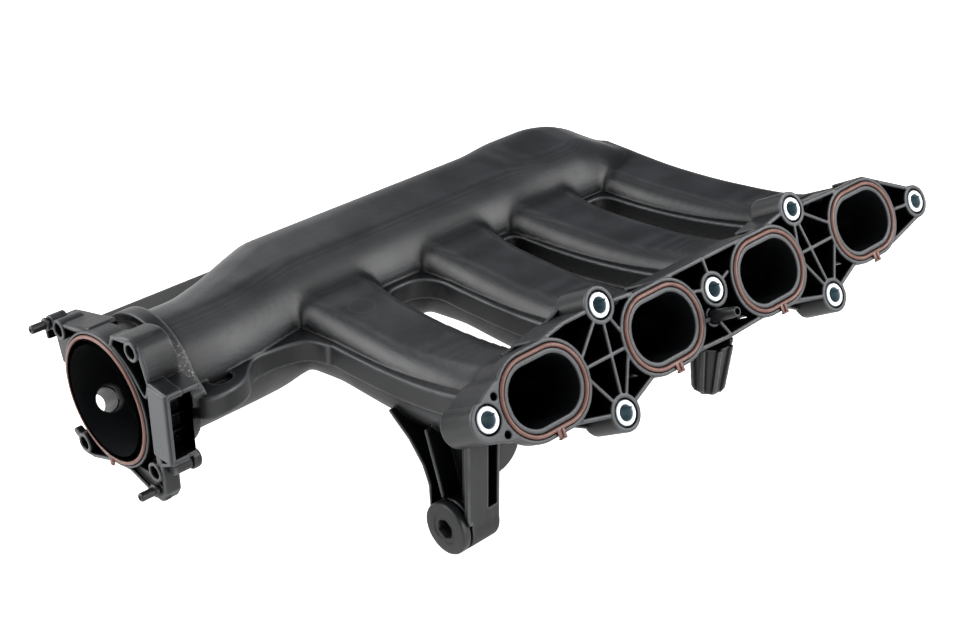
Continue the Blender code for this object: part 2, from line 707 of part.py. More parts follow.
def throttle_cuts():
    groove = cylinder("groove", NECK_BORE + LIP + GROOVE, -OVERLAP, GROOVE_DEPTH, THROTTLE, segments=36)
    bake(groove)
    core = cylinder("core", NECK_BORE + LIP, -2 * OVERLAP, GROOVE_DEPTH + OVERLAP, THROTTLE, segments=36)
    cuts = [cut(groove, [core])]
    for x, y in THROTTLE_HOLES:
        place = THROTTLE @ Matrix.Translation((x, y, 0))
        cuts.append(cylinder("insert_hole", INSERT_OUTER + GAP, -OVERLAP, HOLE_DEPTH - 0.001, place))
    for x, y in THROTTLE_PEGS:
        place = THROTTLE @ Matrix.Translation((x, y, 0))
        cuts.append(cylinder("peg_hole", 0.0022 + GAP, -OVERLAP, 0.0075, place))
    place = nipple_frame()
    cuts.append(cylinder("nipple_clearance", NIPPLE_OUTER + GAP, NIPPLE_START, 0.060, place))
    cuts.append(cylinder("nipple_port", NIPPLE_BORE, 0.020, 0.050, place))
    low, high = HOLE_DEPTH - PLUG_LENGTH - OVERLAP, HOLE_DEPTH + OVERLAP
    cuts.append(cylinder("plug_hole", PLUG_SHANK + GAP, low, high, plug_frame(), segments=16))
    low, high = BRACKET
    wall = BRACKET_WALL
    recess = ((low[0] - OVERLAP, low[1] + wall, wall), (high[0] - 0.002, high[1] - wall, FLANGE_BACK - wall))
    cuts.append(block("bracket_recess", *recess, THROTTLE))
    for low, high in CORNER:
        cuts.append(block("corner", (*low, CORNER_BACK), (*high, FLANGE_BACK + OVERLAP), THROTTLE))
    return cuts


def plug_frame():
    return THROTTLE @ Matrix.Translation((*PLUG_AT, 0))


# ---- Support leg and post -------------------------------------------------------------------------
def side_frame(x):
    """Local x is +Y, local y is +Z, and local z is +X from the given place."""
    return Matrix.Translation((x, 0, 0)) @ Matrix(((0, 0, 1, 0), (1, 0, 0, 0), (0, 1, 0, 0), (0, 0, 0, 1)))


def strip(a, b, half, low, high, frame):
    """A bar from a to b in a frame's xy plane, from low to high along its z."""
    along = Vector((b[0] - a[0], b[1] - a[1]))
    reach = along.length / 2 + half * 0.6
    turn = Matrix.Rotation(math.atan2(along.y, along.x), 4, "Z")
    place = frame @ Matrix.Translation(((a[0] + b[0]) / 2, (a[1] + b[1]) / 2, 0)) @ turn
    return block("strip", (-reach, -half, low), (reach, half, high), place)


def leg_solid():
    """The ribbed leg under the first runner and its foot boss."""
    start, end = LEG_X
    depth = end - start
    frame = side_frame(start)
    foot = FOOT_CENTRE
    rear = [(0.089, -0.040), (0.073, -0.051), (0.062, -0.063), (0.057, -0.074), (0.0555, -0.093)]
    web = [(0.026, -0.030), (0.025, -0.093)] + rear[::-1]
    parts = [plate("leg_web", web, 0.007, 0.0105, frame)]
    parts += [strip(a, b, 0.0013, 0.0005, 0.0112, frame) for a, b in zip(rear, rear[1:])]
    parts.append(strip((0.060, -0.040), (0.044, -0.085), 0.0014, 0.0008, 0.0100, frame))
    parts.append(block("leg_front", (0.0248, -0.095, 0.0002), (0.0375, -0.034, depth), frame))
    parts.append(cylinder("foot", FOOT_RADIUS, FOOT_BOSS_X[0] - start, FOOT_BOSS_X[1] - start,
                          frame @ Matrix.Translation((*foot, 0)), segments=32))
    return parts


def leg_cuts():
    start, end = LEG_X
    frame = side_frame(start)
    foot = frame @ Matrix.Translation((*FOOT_CENTRE, 0))
    slot = block("leg_slot", (0.0200, -0.076, 0.0125), (0.0340, -0.046, 0.0195), frame)
    face = FOOT_BOSS_X[0] - start
    return [
        slot,
        cylinder("disc_room", FOOT_RADIUS + 0.0008, -OVERLAP, face, foot, segments=32),
        cylinder("bush_hole", BUSH_SHANK + GAP, face - OVERLAP, 0.0165, foot),
        cylinder("insert_hole", INSERT_OUTER + GAP, 0.010, FOOT_BOSS_X[1] - start + OVERLAP, foot),
    ]


def post_solid():
    """The tapered post under the web, with fins round it."""
    x, y = POST_AT
    low, high = POST_Z
    place = Matrix.Translation((x, y, 0))
    core = cylinder("post", POST_RADIUS[0] - 0.0025, low, high, place, POST_RADIUS[1] - 0.0015)
    fins = []
    for i in range(3):
        turn = place @ Matrix.Rotation(math.pi * i / 3 + 0.3, 4, "Z")
        outline = [(-POST_RADIUS[0], low + 0.0006), (POST_RADIUS[0], low + 0.0006),
                   (POST_RADIUS[1], high - 0.0010), (-POST_RADIUS[1], high - 0.0010)]
        stand = turn @ Matrix.Rotation(math.pi / 2, 4, "X")
        fins.append(plate("fin", outline, -0.0011, 0.0011, stand))
    return [core] + fins


def post_cuts():
    place = Matrix.Translation((*POST_AT, 0))
    return [cylinder("post_hole", INSERT_OUTER + GAP, POST_Z[0] - OVERLAP, POST_Z[0] + 0.014, place)]


# ---- Small pieces ---------------------------------------------------------------------------------
def port_seal(index):
    """A seal ring with a small pull tab, standing a little out of its groove."""
    place = HEAD @ Matrix.Translation((PORT_X[index], 0, 0))
    low, high = -GROOVE_DEPTH + GAP, 0.0010
    ring = plate("seal", port_outline(LIP + GROOVE - GAP), low, high, place)
    bake(ring)
    hole = plate("seal_hole", port_outline(LIP + GAP), low - OVERLAP, high + OVERLAP, place)
    ring = cut(ring, [hole])
    edge = -(PORT_HALF[1] + LIP + GROOVE)
    tab = block("tab", (-0.0032, edge - 0.0045, GAP), (0.0014, edge + 0.0012, 0.0022), place)
    ring = join_all(ring, [tab])
    return finish_piece(ring, f"port_seal_{index + 1}", MATERIALS["seal"])


def throttle_seal():
    inner, outer = NECK_BORE + LIP + GAP, NECK_BORE + LIP + GROOVE - GAP
    low, high = -0.0010, GROOVE_DEPTH - GAP
    profile = [(outer, high), (outer, low), (inner, low), (inner, high)]
    ring = turned("seal", profile, THROTTLE, 48)
    tab = block("tab", (-0.0015, -outer - 0.0045, low - 0.0012), (0.0015, -outer + 0.0008, -GAP), THROTTLE)
    ring = join_all(ring, [tab])
    return finish_piece(ring, "throttle_seal", MATERIALS["seal"])


def flange_sleeve(index):
    """A rolled steel sleeve with its seam slit."""
    place = HEAD @ Matrix.Translation((*SLEEVES[index], 0))
    end = -SLEEVE_LENGTH
    profile = [(SLEEVE_OUTER, 0), (SLEEVE_OUTER, end), (SLEEVE_BORE, end), (SLEEVE_BORE, 0)]
    sleeve = turned("sleeve", profile, place)
    half = SLEEVE_SLIT / 2
    slit = block("slit", (0, -half, end - OVERLAP), (SLEEVE_OUTER + OVERLAP, half, OVERLAP),
                 place @ Matrix.Rotation(SLEEVE_SLIT_TURN, 4, "Z"))
    sleeve = cut(sleeve, [slit])
    return finish_piece(sleeve, f"flange_sleeve_{index + 1}", MATERIALS["zinc"])


def locating_tube():
    place = HEAD @ Matrix.Translation((*TUBE_AT, 0))
    outer, bore, root = 0.0039, 0.0019, -0.0115
    profile = [(0.0030, TUBE_HEIGHT), (outer, -0.0020), (outer, root), (bore, root), (bore, TUBE_HEIGHT)]
    return finish_piece(turned("tube", profile, place, 16), "locating_tube", MATERIALS["plastic"])


def insert(name, place, length):
    """A knurled brass insert, as its plain outer shape."""
    profile = [(INSERT_OUTER, length), (INSERT_OUTER, 0), (INSERT_BORE, 0), (INSERT_BORE, length)]
    return finish_piece(turned("insert", profile, place, 16), name, MATERIALS["brass"])


def throttle_peg(name, spot):
    """A locating peg with a collar; it points out of the sealing face."""
    place = THROTTLE @ Matrix.Translation((*spot, 0))
    profile = [(0.0022, 0.0056), (0.0022, -0.0005), (0.0039, -0.0005), (0.0039, -0.0020),
               (0.0026, -0.0020), (0.0026, -0.0110), (0.0010, -0.0110), (0.0010, 0.0056)]
    return finish_piece(turned("peg", profile, place, 16), name, MATERIALS["plastic"])


def bracket_plug():
    top, seat = HOLE_DEPTH + 0.0062, HOLE_DEPTH + GAP
    profile = [(PLUG_HEAD - 0.0010, top), (PLUG_HEAD, top - 0.0016), (PLUG_HEAD, seat), (PLUG_SHANK, seat),
               (PLUG_SHANK, seat - PLUG_LENGTH), (0.0010, seat - PLUG_LENGTH), (0.0010, top)]
    return finish_piece(turned("plug", profile, plug_frame(), 16), "bracket_plug", MATERIALS["plastic"])


def hose_nipple():
    start, end = NIPPLE_START + GAP, NIPPLE_REACH
    ridge = 0.0012
    profile = [
        (NIPPLE_OUTER - 0.0016, end), (NIPPLE_OUTER - 0.0016 + ridge, end - 0.004),
        (NIPPLE_OUTER - 0.0016, end - 0.0045), (NIPPLE_OUTER - 0.0016, start + 0.0040),
        (NIPPLE_OUTER, start + 0.0025), (NIPPLE_OUTER, start),
        (NIPPLE_BORE - 0.0004, start), (NIPPLE_BORE - 0.0014, end),
    ]
    return finish_piece(turned("nipple", profile, nipple_frame()), "hose_nipple", MATERIALS["plastic"])


def foot_frame(x):
    """Local z is +X, from the given place on the foot's screw axis."""
    return Matrix.Translation((x, *FOOT_CENTRE)) @ Matrix.Rotation(math.pi / 2, 4, "Y")


def leg_bush():
    """The screw-out bush: a disc with a hex socket on a threaded shank."""
    start, thick = BUSH_X[0], BUSH_X[1] - BUSH_X[0]
    end = CLIP_X[1] + 0.0005 - start
    inner = CLIP_OUTER + GAP
    profile = [(BUSH_SHANK, end), (BUSH_SHANK, thick), (FOOT_RADIUS, thick), (FOOT_RADIUS, 0.0008),
               (FOOT_RADIUS - 0.0008, 0), (0.0058, 0), (0.0058, thick), (inner, thick + 0.0005), (inner, end)]
    bush = turned("bush", profile, foot_frame(start), 32)
    plug = cylinder("plug", 0.0070, 0.0001, 0.0045, foot_frame(start), segments=32)
    corner = HEX_ACROSS / math.sqrt(3)
    socket = cylinder("socket", corner, -OVERLAP, 0.0045 + OVERLAP, foot_frame(start), segments=6)
    bush = join_all(bush, [plug])
    bush = cut(bush, [socket])
    return finish_piece(bush, "leg_bush", MATERIALS["plastic"])


def leg_clip():
    """The spring ring inside the bush that grips the bolt, so that the bolt turns the bush."""
    length = CLIP_X[1] - CLIP_X[0]
    profile = [(CLIP_OUTER, length), (CLIP_OUTER, 0), (CLIP_OUTER - 0.0008, 0), (CLIP_OUTER - 0.0008, length)]
    return finish_piece(turned("clip", profile, foot_frame(CLIP_X[0])), "leg_clip", MATERIALS["zinc"])


# ---- Assembly -------------------------------------------------------------------------------------
def build_shells():
    body = outer_body()
    air = cavity()
    upper = copy_tool(body, "upper")
    cut(upper, [upper_region(GAP)], "INTERSECT")
    cut(upper, [copy_tool(air, "upper_air")])
    finish_piece(upper, "upper_shell", MATERIALS["plastic"])
    cut(body, [upper_region(0)])
    join_all(body, head_solid() + throttle_solid() + leg_solid() + post_solid())
    cuts = [air] + head_cuts() + throttle_cuts() + leg_cuts() + post_cuts()
    cut(body, cuts)
    finish_piece(body, "lower_shell", MATERIALS["plastic"])


def build_small_pieces():
    for index in range(PORT_COUNT):
        port_seal(index)
    throttle_seal()
    for index in range(len(SLEEVES)):
        flange_sleeve(index)
    locating_tube()
    for index, (x, y) in enumerate(THROTTLE_HOLES):
        place = THROTTLE @ Matrix.Translation((x, y, INSERT_START))
        insert(f"throttle_insert_{index + 1}", place, INSERT_LENGTH)
    for name, spot in zip(("throttle_peg_upper", "throttle_peg_lower"), THROTTLE_PEGS):
        throttle_peg(name, spot)
    bracket_plug()
    hose_nipple()
    leg_bush()
    leg_clip()
    insert("leg_insert", foot_frame(FOOT_BOSS_X[1] - 0.0070), 0.006)
    insert("post_insert", Matrix.Translation((*POST_AT, POST_Z[0] + GAP)), 0.0125)


clear_scene()
MODEL = new_collection("intake_manifold", True)
TOOLS = new_collection("cutters", False)
ROOT = bpy.data.objects.new("intake_manifold_origin", None)
MODEL.objects.link(ROOT)
MATERIALS = {
    "plastic": new_material("black_glass_filled_nylon", (0.022, 0.023, 0.025), 0.42, 0.0),
    "seal": new_material("brown_seal_rubber", (0.20, 0.095, 0.07), 0.45, 0.0),
    "zinc": new_material("bright_zinc_steel", (0.72, 0.76, 0.80), 0.28, 1.0),
    "brass": new_material("insert_brass", (0.70, 0.52, 0.25), 0.32, 1.0),
}
build_shells()
build_small_pieces()
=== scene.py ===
"""Looks of the moulded plastic intake manifold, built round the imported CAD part.

The two welded shells, the ribbed head flange, the throttle flange and the support leg are described as
distance fields, which gives the soft blends of a moulding, and meshed on patches that run into each other.
Row frame: +X along the ports, +Y from the head flange to the plenum, +Z up, metres.
"""

from functools import reduce
from math import atan2, ceil, cos, dist, pi, radians, sin, tan

import bmesh
import bpy
import numpy as np
from mathutils import Matrix, Vector


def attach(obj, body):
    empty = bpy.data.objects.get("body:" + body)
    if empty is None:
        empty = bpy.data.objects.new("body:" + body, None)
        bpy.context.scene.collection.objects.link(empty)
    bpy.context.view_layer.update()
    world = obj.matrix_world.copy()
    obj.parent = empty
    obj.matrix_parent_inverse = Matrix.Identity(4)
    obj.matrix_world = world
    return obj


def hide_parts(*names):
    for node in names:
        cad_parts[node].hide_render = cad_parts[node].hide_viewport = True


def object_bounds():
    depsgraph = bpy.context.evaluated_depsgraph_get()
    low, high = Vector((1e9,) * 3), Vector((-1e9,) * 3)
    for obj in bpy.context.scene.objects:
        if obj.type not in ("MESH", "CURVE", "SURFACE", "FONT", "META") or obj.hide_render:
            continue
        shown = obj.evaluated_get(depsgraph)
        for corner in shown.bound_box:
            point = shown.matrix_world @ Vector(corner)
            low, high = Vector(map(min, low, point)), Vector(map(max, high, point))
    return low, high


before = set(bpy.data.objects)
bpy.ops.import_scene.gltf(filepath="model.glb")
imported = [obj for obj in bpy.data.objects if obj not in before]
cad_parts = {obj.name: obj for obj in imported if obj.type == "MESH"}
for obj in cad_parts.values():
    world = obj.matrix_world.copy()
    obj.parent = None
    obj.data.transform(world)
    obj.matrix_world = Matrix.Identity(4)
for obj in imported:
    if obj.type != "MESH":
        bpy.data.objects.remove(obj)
cad_low, cad_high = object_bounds()

# ---- Dimensions shared with the CAD part ----
WALL = 0.003
PORT_X = [(i - 1.5) * 0.096 for i in range(4)]
PORT_HALF = (0.02505, 0.01705)
PORT_CORNER = 0.0167
LEAN = radians(31.5)
LEAN_SIN, LEAN_COS = sin(LEAN), cos(LEAN)
LIP, GROOVE, OUTER_LIP, GROOVE_DEPTH = 0.0029, 0.0029, 0.0024, 0.003
BOSS_DEPTH, WEB_DEPTH, WEB_FLOOR = 0.026, 0.022, 0.003
WEB_WALL, RIB = 0.0026, 0.0023

SLEEVE_OUTER, SLEEVE_BORE, SLEEVE_LENGTH, SLEEVE_BOSS = 0.00717, 0.00465, 0.0225, 0.0108
SLEEVES = (
    (PORT_X[0] - 0.0413, 0.0004), (PORT_X[0] + 0.057, 0.0275), (PORT_X[0] + 0.047, -0.032),
    (PORT_X[1] + 0.0475, 0.0056), (PORT_X[2] + 0.0377, 0.027), (PORT_X[2] + 0.047, -0.0325),
    (PORT_X[3] + 0.0562, -0.0051),
)
TUBE_AT, TUBE_HEIGHT = (PORT_X[1] + 0.041, -0.0087), 0.017

RUNNER_HALF, RUNNER_CORNER, RUNNER_DEEPER = (0.028, 0.02), 0.0195, 0.005
LEVEL = -0.0275
RUNNER_BEND, SEAM_BEND = (0.036, 0.062, 0.12), (0.036, 0.09, 0.165)
RUNNER_END, RUNNER_ROOT = 0.165, 0.205
RUNNER_DRIFT = (0.0, 0.002, -0.0165, -0.027)
PLENUM_Y, PLENUM_HALF = 0.213, (0.044, 0.0357)
NECK_Y, NECK_RADIUS, NECK_BORE = 0.1925, 0.0365, 0.033
THROTTLE_X, THROTTLE_Z = -0.292, -0.0285
ARCH_X, ARCH_RADIUS = -0.262, 0.0405
COLLAR_PROUD = 0.0012
SEAM_BELOW, SEAM_ABOVE, SEAM_OUT = 0.005, 0.0088, 0.0045
FRONT_LOBE = [(-0.2627, 0.1447), (-0.2584, 0.1405), (-0.2496, 0.139), (-0.2381, 0.1407), (-0.2289, 0.1448),
              (-0.2233, 0.1512), (-0.2144, 0.159), (-0.1909, 0.1564), (-0.1798, 0.1511), (-0.1767, 0.1379)]

HOLES = ((0.0417, 0.0274), (-0.0322, 0.0446), (-0.0427, -0.0268), (0.03, -0.0425))
PEGS = ((0.053, 0.027), (-0.043, -0.038))
PLUG_AT = (-0.053, -0.0205)
NIPPLE_X, NIPPLE_ANGLE, NIPPLE_OUTER, NIPPLE_BORE = THROTTLE_X + 0.018, radians(-35), 0.0105, 0.008
FOOT, FOOT_RADIUS = (0.04, -0.093), 0.0157
LEG_X, BUSH_X, CLIP_X, LEG_INSERT_X = -0.176, -0.18, -0.172, -0.159      # where each starts, along +X
HEX_CORNER, HEX_SEAT = 0.0061, 0.007
POST_AT, POST_Z, POST_RADIUS = (0.0005, 0.003), (-0.0625, -0.03), (0.0103, 0.0135)

HEAD = Matrix.Rotation(pi / 2 - LEAN, 4, "X")     # x along the ports, y up the face, z out of it
AXES_YZX = Matrix(((0, 0, 1, 0), (1, 0, 0, 0), (0, 1, 0, 0), (0, 0, 0, 1)))   # local xyz: the row's y, z, x
THROTTLE = Matrix.Translation((THROTTLE_X, NECK_Y, THROTTLE_Z)) @ AXES_YZX


# ---- Distance fields: negative inside ----
def ease(value):
    value = np.clip(value, 0, 1)
    return value * value * (3 - 2 * value)


def union(*fields):
    return reduce(np.minimum, fields)


def common(*fields):
    return reduce(np.maximum, fields)


def cut(field, *tools):
    return np.maximum(field, -union(*tools))


def blend(a, b, width):
    """Union with a fillet."""
    near = np.maximum(width - np.abs(a - b), 0) / width
    return np.minimum(a, b) - near**3 * width / 6


def slab(value, low, high):
    return np.maximum(low - value, value - high)


def rounded(px, py, half_x, half_y, corner):
    qx, qy = np.abs(px) - (half_x - corner), np.abs(py) - (half_y - corner)
    return np.hypot(np.maximum(qx, 0), np.maximum(qy, 0)) + np.minimum(np.maximum(qx, qy), 0) - corner


def extrude(shape, value, low, high, edge=0.0006):
    """A flat shape between two levels, with its rims rounded."""
    a, b = shape + edge, slab(value, low, high) + edge
    return np.minimum(np.maximum(a, b), 0) + np.hypot(np.maximum(a, 0), np.maximum(b, 0)) - edge


def segment(px, py, a, b, half):
    dx, dy = b[0] - a[0], b[1] - a[1]
    along = np.clip(((px - a[0]) * dx + (py - a[1]) * dy) / max(dx * dx + dy * dy, 1e-12), 0, 1)
    return np.hypot(px - a[0] - along * dx, py - a[1] - along * dy) - half


def chain(px, py, points, half):
    return union(*[segment(px, py, a, b, half) for a, b in zip(points, points[1:])])


def polygon(px, py, points):
    """Signed distance to a closed outline."""
    px, py = np.broadcast_arrays(px, py)
    distance = np.full(px.shape, 1e9, np.float32)
    inside = np.zeros(px.shape, bool)
    for a, b in zip(points, points[1:] + points[:1]):
        distance = np.minimum(distance, segment(px, py, a, b, 0))
        crosses = (a[1] > py) != (b[1] > py)
        rise = b[1] - a[1] if b[1] != a[1] else 1e-12
        inside ^= crosses & (px < (b[0] - a[0]) * (py - a[1]) / rise + a[0])
    return np.where(inside, -distance, distance)


def disc(px, py, radius, *centres):
    return union(*[np.hypot(px - x, py - y) for x, y in centres]) - radius


def arc(centre, radius, start, end, count):
    angles = [radians(start + (end - start) * i / (count - 1)) for i in range(count)]
    return [(centre[0] + radius * cos(a), centre[1] + radius * sin(a)) for a in angles]


def curved(points, rounds=2):
    """An open line with its corners cut until it curves."""
    for _ in range(rounds):
        made = [points[0]]
        for a, b in zip(points, points[1:]):
            made += [(a[0] * (1 - s) + b[0] * s, a[1] * (1 - s) + b[1] * s) for s in (0.25, 0.75)]
        points = made + [points[-1]]
    return points


# ---- The bent centreline and the seam ----
def bend_points(reach, last, count=1400):
    """Places and unit tangents along a bend in the YZ plane, run on straight at both ends."""
    p = [np.array((0.0, 0.0)), np.array((reach[0], -reach[0] * tan(LEAN))),
         np.array((reach[1], LEVEL)), np.array((reach[2], LEVEL))]
    t = np.linspace(0, 1, count)[:, None]
    s = 1 - t
    places = s**3 * p[0] + 3 * s * s * t * p[1] + 3 * s * t * t * p[2] + t**3 * p[3]
    slopes = s * s * (p[1] - p[0]) + 2 * s * t * (p[2] - p[1]) + t * t * (p[3] - p[2])
    slopes /= np.linalg.norm(slopes, axis=1)[:, None]
    out = np.linspace(-0.02, -0.0005, 30)[:, None] * slopes[0]
    flat = np.stack([np.linspace(reach[2] + 0.001, last, 140), np.full(140, LEVEL)], 1)
    places = np.concatenate([out, places, flat])
    slopes = np.concatenate([np.repeat(slopes[:1], 30, 0), slopes, np.tile((1.0, 0.0), (140, 1))])
    return places, slopes


def bend_map(reach, last, y, z):
    """For points of the YZ plane: how far back along the bend, and how high over it."""
    places, slopes = bend_points(reach, last)
    flat_y, flat_z = y.ravel(), z.ravel()
    best = np.empty(flat_y.size, np.int64)
    for start in range(0, flat_y.size, 2000):
        part = slice(start, start + 2000)
        gap = (flat_y[part, None] - places[:, 0]) ** 2 + (flat_z[part, None] - places[:, 1]) ** 2
        best[part] = gap.argmin(1)
    off_y, off_z = flat_y - places[best, 0], flat_z - places[best, 1]
    along = off_y * slopes[best, 0] + off_z * slopes[best, 1]
    back = places[best, 0] + along * slopes[best, 0]
    up = off_z * slopes[best, 0] - off_y * slopes[best, 1]
    return back.reshape(y.shape).astype(np.float32), up.reshape(y.shape).astype(np.float32)


# ---- Air box and runners ----
STATIONS = np.array((
    # x, y centre, half width, height above the seam, depth below it, corner
    (THROTTLE_X - 0.02, NECK_Y, 0.0365, 0.0365, 0.0365, 0.0365),
    (-0.230, NECK_Y, 0.0365, 0.0365, 0.0365, 0.0365),
    (-0.206, 0.1975, 0.0385, 0.0370, 0.0385, 0.0365),
    (-0.182, 0.2055, 0.0412, 0.0364, 0.0410, 0.0350),
    (-0.158, PLENUM_Y, 0.0440, 0.0357, 0.0400, 0.0340),
    (0.026, PLENUM_Y, 0.0440, 0.0357, 0.0360, 0.0340),
    (0.048, PLENUM_Y, 0.0440, 0.0384, 0.0357, 0.0340),
    (0.082, PLENUM_Y, 0.0440, 0.0384, 0.0357, 0.0340),
    (0.100, PLENUM_Y, 0.0440, 0.0347, 0.0327, 0.0330),
    (0.120, PLENUM_Y, 0.0410, 0.0257, 0.0257, 0.0250),
    (0.136, PLENUM_Y, 0.0370, 0.0147, 0.0147, 0.0140),
    (0.144, PLENUM_Y, 0.0330, 0.0057, 0.0057, 0.0050),
    (0.160, PLENUM_Y, 0.0300, 0.0030, 0.0030, 0.0028),
))


def smooth_station(x, column, reach=0.009):
    offsets = np.linspace(-reach, reach, 13)
    weights = np.cos(offsets / reach * pi / 2)
    values = [w * np.interp(x + o, STATIONS[:, 0], STATIONS[:, column]) for o, w in zip(offsets, weights)]
    return (np.sum(values, 0) / weights.sum()).astype(np.float32)


def air_box(x, y, z):
    centre, half, above, below, corner = (smooth_station(x, i) for i in range(1, 6))
    height = z - LEVEL
    half_z = np.where(height > 0, above, below)
    corner = np.minimum(corner, 0.995 * np.minimum(half, half_z))
    return common(rounded(y - centre, height, half, half_z, corner), x - 0.1448)


def runner(index, x, back, up):
    last = index == 3
    flare = 0 * back if last else ease((back - 0.135) / 0.045)
    half_x = RUNNER_HALF[0] + 0.003 * flare
    deeper = 1 + RUNNER_DEEPER / RUNNER_HALF[1] * ease(back / 0.06)
    half_z = (RUNNER_HALF[1] + 0.002 * flare) * np.where(up > 0, 1, deeper)
    centre = PORT_X[index] + RUNNER_DRIFT[index] * ease(back / RUNNER_END)
    corner = RUNNER_CORNER - 0.005 * ease((back - 0.04) / 0.06) * (up > 0)
    return common(rounded(x - centre, up, half_x, half_z, corner), back - RUNNER_ROOT - 0.004)


def seam_plan():
    """Plan outline of the weld flanges, with a rounded bay between neighbouring runners."""
    reach = RUNNER_HALF[0] + SEAM_OUT - 0.001
    front, rear = PLENUM_Y - 0.044 - SEAM_OUT, PLENUM_Y + 0.044 + SEAM_OUT

    def middle(index, y):
        return PORT_X[index] + RUNNER_DRIFT[index] * float(ease(y / RUNNER_END))

    points = [(ARCH_X - 0.0035, rear), (ARCH_X - 0.0035, 0.148)] + curved(FRONT_LOBE)
    low = 0.018
    for index in range(4):
        steps = np.linspace(0.14, low, 9)
        points += [(middle(index, y) - reach, y) for y in steps]
        points += [(middle(index, y) + reach, y) for y in steps[::-1]]
        if index < 3:
            left, right = middle(index, front) + reach, middle(index + 1, front) - reach
            tight, wide = 0.28 * (right - left), 0.5 * (right - left)
            points += arc((left + tight, front - tight), tight, 180, 90, 8)
            points += arc((right - wide, front - wide), wide, 90, 0, 10)
    end = 0.1495
    points += arc((end - 0.002, 0.15), 0.006, 180, 135, 3)
    points += arc((end - 0.03, front + 0.034), 0.03, -30, 0, 5)
    points += arc((end - 0.045, rear - 0.045), 0.045, 0, 90, 12)
    return points


class PlanTable:
    """A plan shape's signed distance, looked up between the nodes of a fine table."""

    def __init__(self, points, low, high, step=0.0006):
        self.low, self.step = low, step
        xs = np.arange(low[0], high[0], step, dtype=np.float32)
        ys = np.arange(low[1], high[1], step, dtype=np.float32)
        self.values = polygon(xs[:, None], ys[None, :], points).astype(np.float32)

    def __call__(self, x, y):
        fx = np.clip((x - self.low[0]) / self.step, 0, self.values.shape[0] - 1.001)
        fy = np.clip((y - self.low[1]) / self.step, 0, self.values.shape[1] - 1.001)
        ix, iy = fx.astype(np.int32), fy.astype(np.int32)
        fx, fy = (fx - ix).astype(np.float32), (fy - iy).astype(np.float32)
        ix, iy, fx, fy = np.broadcast_arrays(ix, iy, fx, fy)
        v = self.values
        low = v[ix, iy] * (1 - fx) + v[ix + 1, iy] * fx
        high = v[ix, iy + 1] * (1 - fx) + v[ix + 1, iy + 1] * fx
        return low * (1 - fy) + high * fy


SEAM_PLAN = PlanTable(seam_plan(), (-0.3, -0.02), (0.215, 0.28))


def manifold_body(x, y, z):
    """(outside of the tubes, outside with weld flanges, height over the seam) for a column of x, a YZ net."""
    back, up = bend_map(RUNNER_BEND, RUNNER_ROOT + 0.01, y, z)
    _, over = bend_map(SEAM_BEND, 0.29, y, z)
    tubes = union(*[runner(i, x, back, up) for i in range(4)])
    core = blend(air_box(x, y, z), tubes, 0.0095)
    rim = extrude(SEAM_PLAN(x, y), over, -SEAM_BELOW, SEAM_ABOVE)
    rim = cut(rim, common(rounded(x + 0.241, y - 0.1555, 0.007, 0.006, 0.0055), 0.0048 - over))
    ring = np.hypot(y - NECK_Y, z - LEVEL) - ARCH_RADIUS - COLLAR_PROUD
    foot = [(0.171, 0.0045), (0.159, -0.0055), (0.1455, -0.0168), (0.1455, -0.0235), (0.172, -0.0235)]
    arch = extrude(union(ring, polygon(y, z, foot)), x - ARCH_X, -0.0045, 0.0056)
    return core, blend(core, union(rim, arch), 0.0012), over


# ---- Head flange ----
def near(port, x, y):
    return (PORT_X[port] + x, y)


def head_lines():
    """Centre lines of the flange's outer walls, and of the thinner ribs between them."""
    walls, ribs = [], []
    for port, top, bottom in ((0, SLEEVES[1], SLEEVES[2]), (2, SLEEVES[4], SLEEVES[5])):
        walls += [
            (near(port, 0.01, 0.0245), near(port, 0.029, 0.0275), top),
            (top, near(port + 1, -0.014, 0.025)),
            (near(port, 0.012, -0.0235), bottom), (bottom, near(port + 1, -0.02, -0.0215)),
        ]
        ribs += [
            (top, near(port, 0.032, 0.006)), (top, bottom),
            (near(port, 0.032, 0.0), near(port + 1, -0.032, 0.0)), (near(port, 0.031, -0.0055), bottom),
            (near(port + 1, -0.032, -0.004), bottom), (top, near(port + 1, -0.031, 0.009)),
        ]
    sleeve, ear = SLEEVES[3], SLEEVES[6]
    walls += [
        (near(1, 0.005, 0.0245), near(2, -0.005, 0.0245)),
        (near(1, 0.02, -0.0215), near(1, 0.048, -0.023), near(2, -0.018, -0.0225)),
        (near(3, 0.014, 0.024), (ear[0] - 0.002, ear[1] + 0.0095)),
        (near(3, 0.018, -0.022), (ear[0] - 0.002, ear[1] - 0.0095)),
    ]
    ribs += [
        (near(1, 0.0475, 0.0245), sleeve), (near(2, -0.033, 0.011), sleeve),
        (near(1, 0.031, 0.01), sleeve), (near(1, 0.032, -0.0085), TUBE_AT),
        (TUBE_AT, near(1, 0.048, -0.023)), (near(3, 0.032, -0.003), ear),
    ]
    return walls, ribs


def web_outline():
    s = SLEEVES
    points = [near(0, 0.0, 0.024), near(0, 0.029, 0.027), (s[1][0], s[1][1] + 0.008)]
    points += [near(1, -0.01, 0.024), near(2, 0.018, 0.024), (s[4][0], s[4][1] + 0.008)]
    points += [near(3, 0.01, 0.024), (s[6][0], s[6][1] + 0.009)]
    points += [(s[6][0], s[6][1] - 0.009), near(3, 0.01, -0.021)]
    points += [near(3, -0.018, -0.021), (s[5][0], s[5][1] - 0.008)]
    points += [near(2, 0.012, -0.022), near(1, 0.048, -0.022), near(1, -0.006, -0.024),
               near(1, -0.014, -0.023), near(1, -0.0225, -0.0235)]
    points += [(s[2][0], s[2][1] - 0.008), near(0, 0.012, -0.022), near(0, 0.0, -0.022)]
    return points


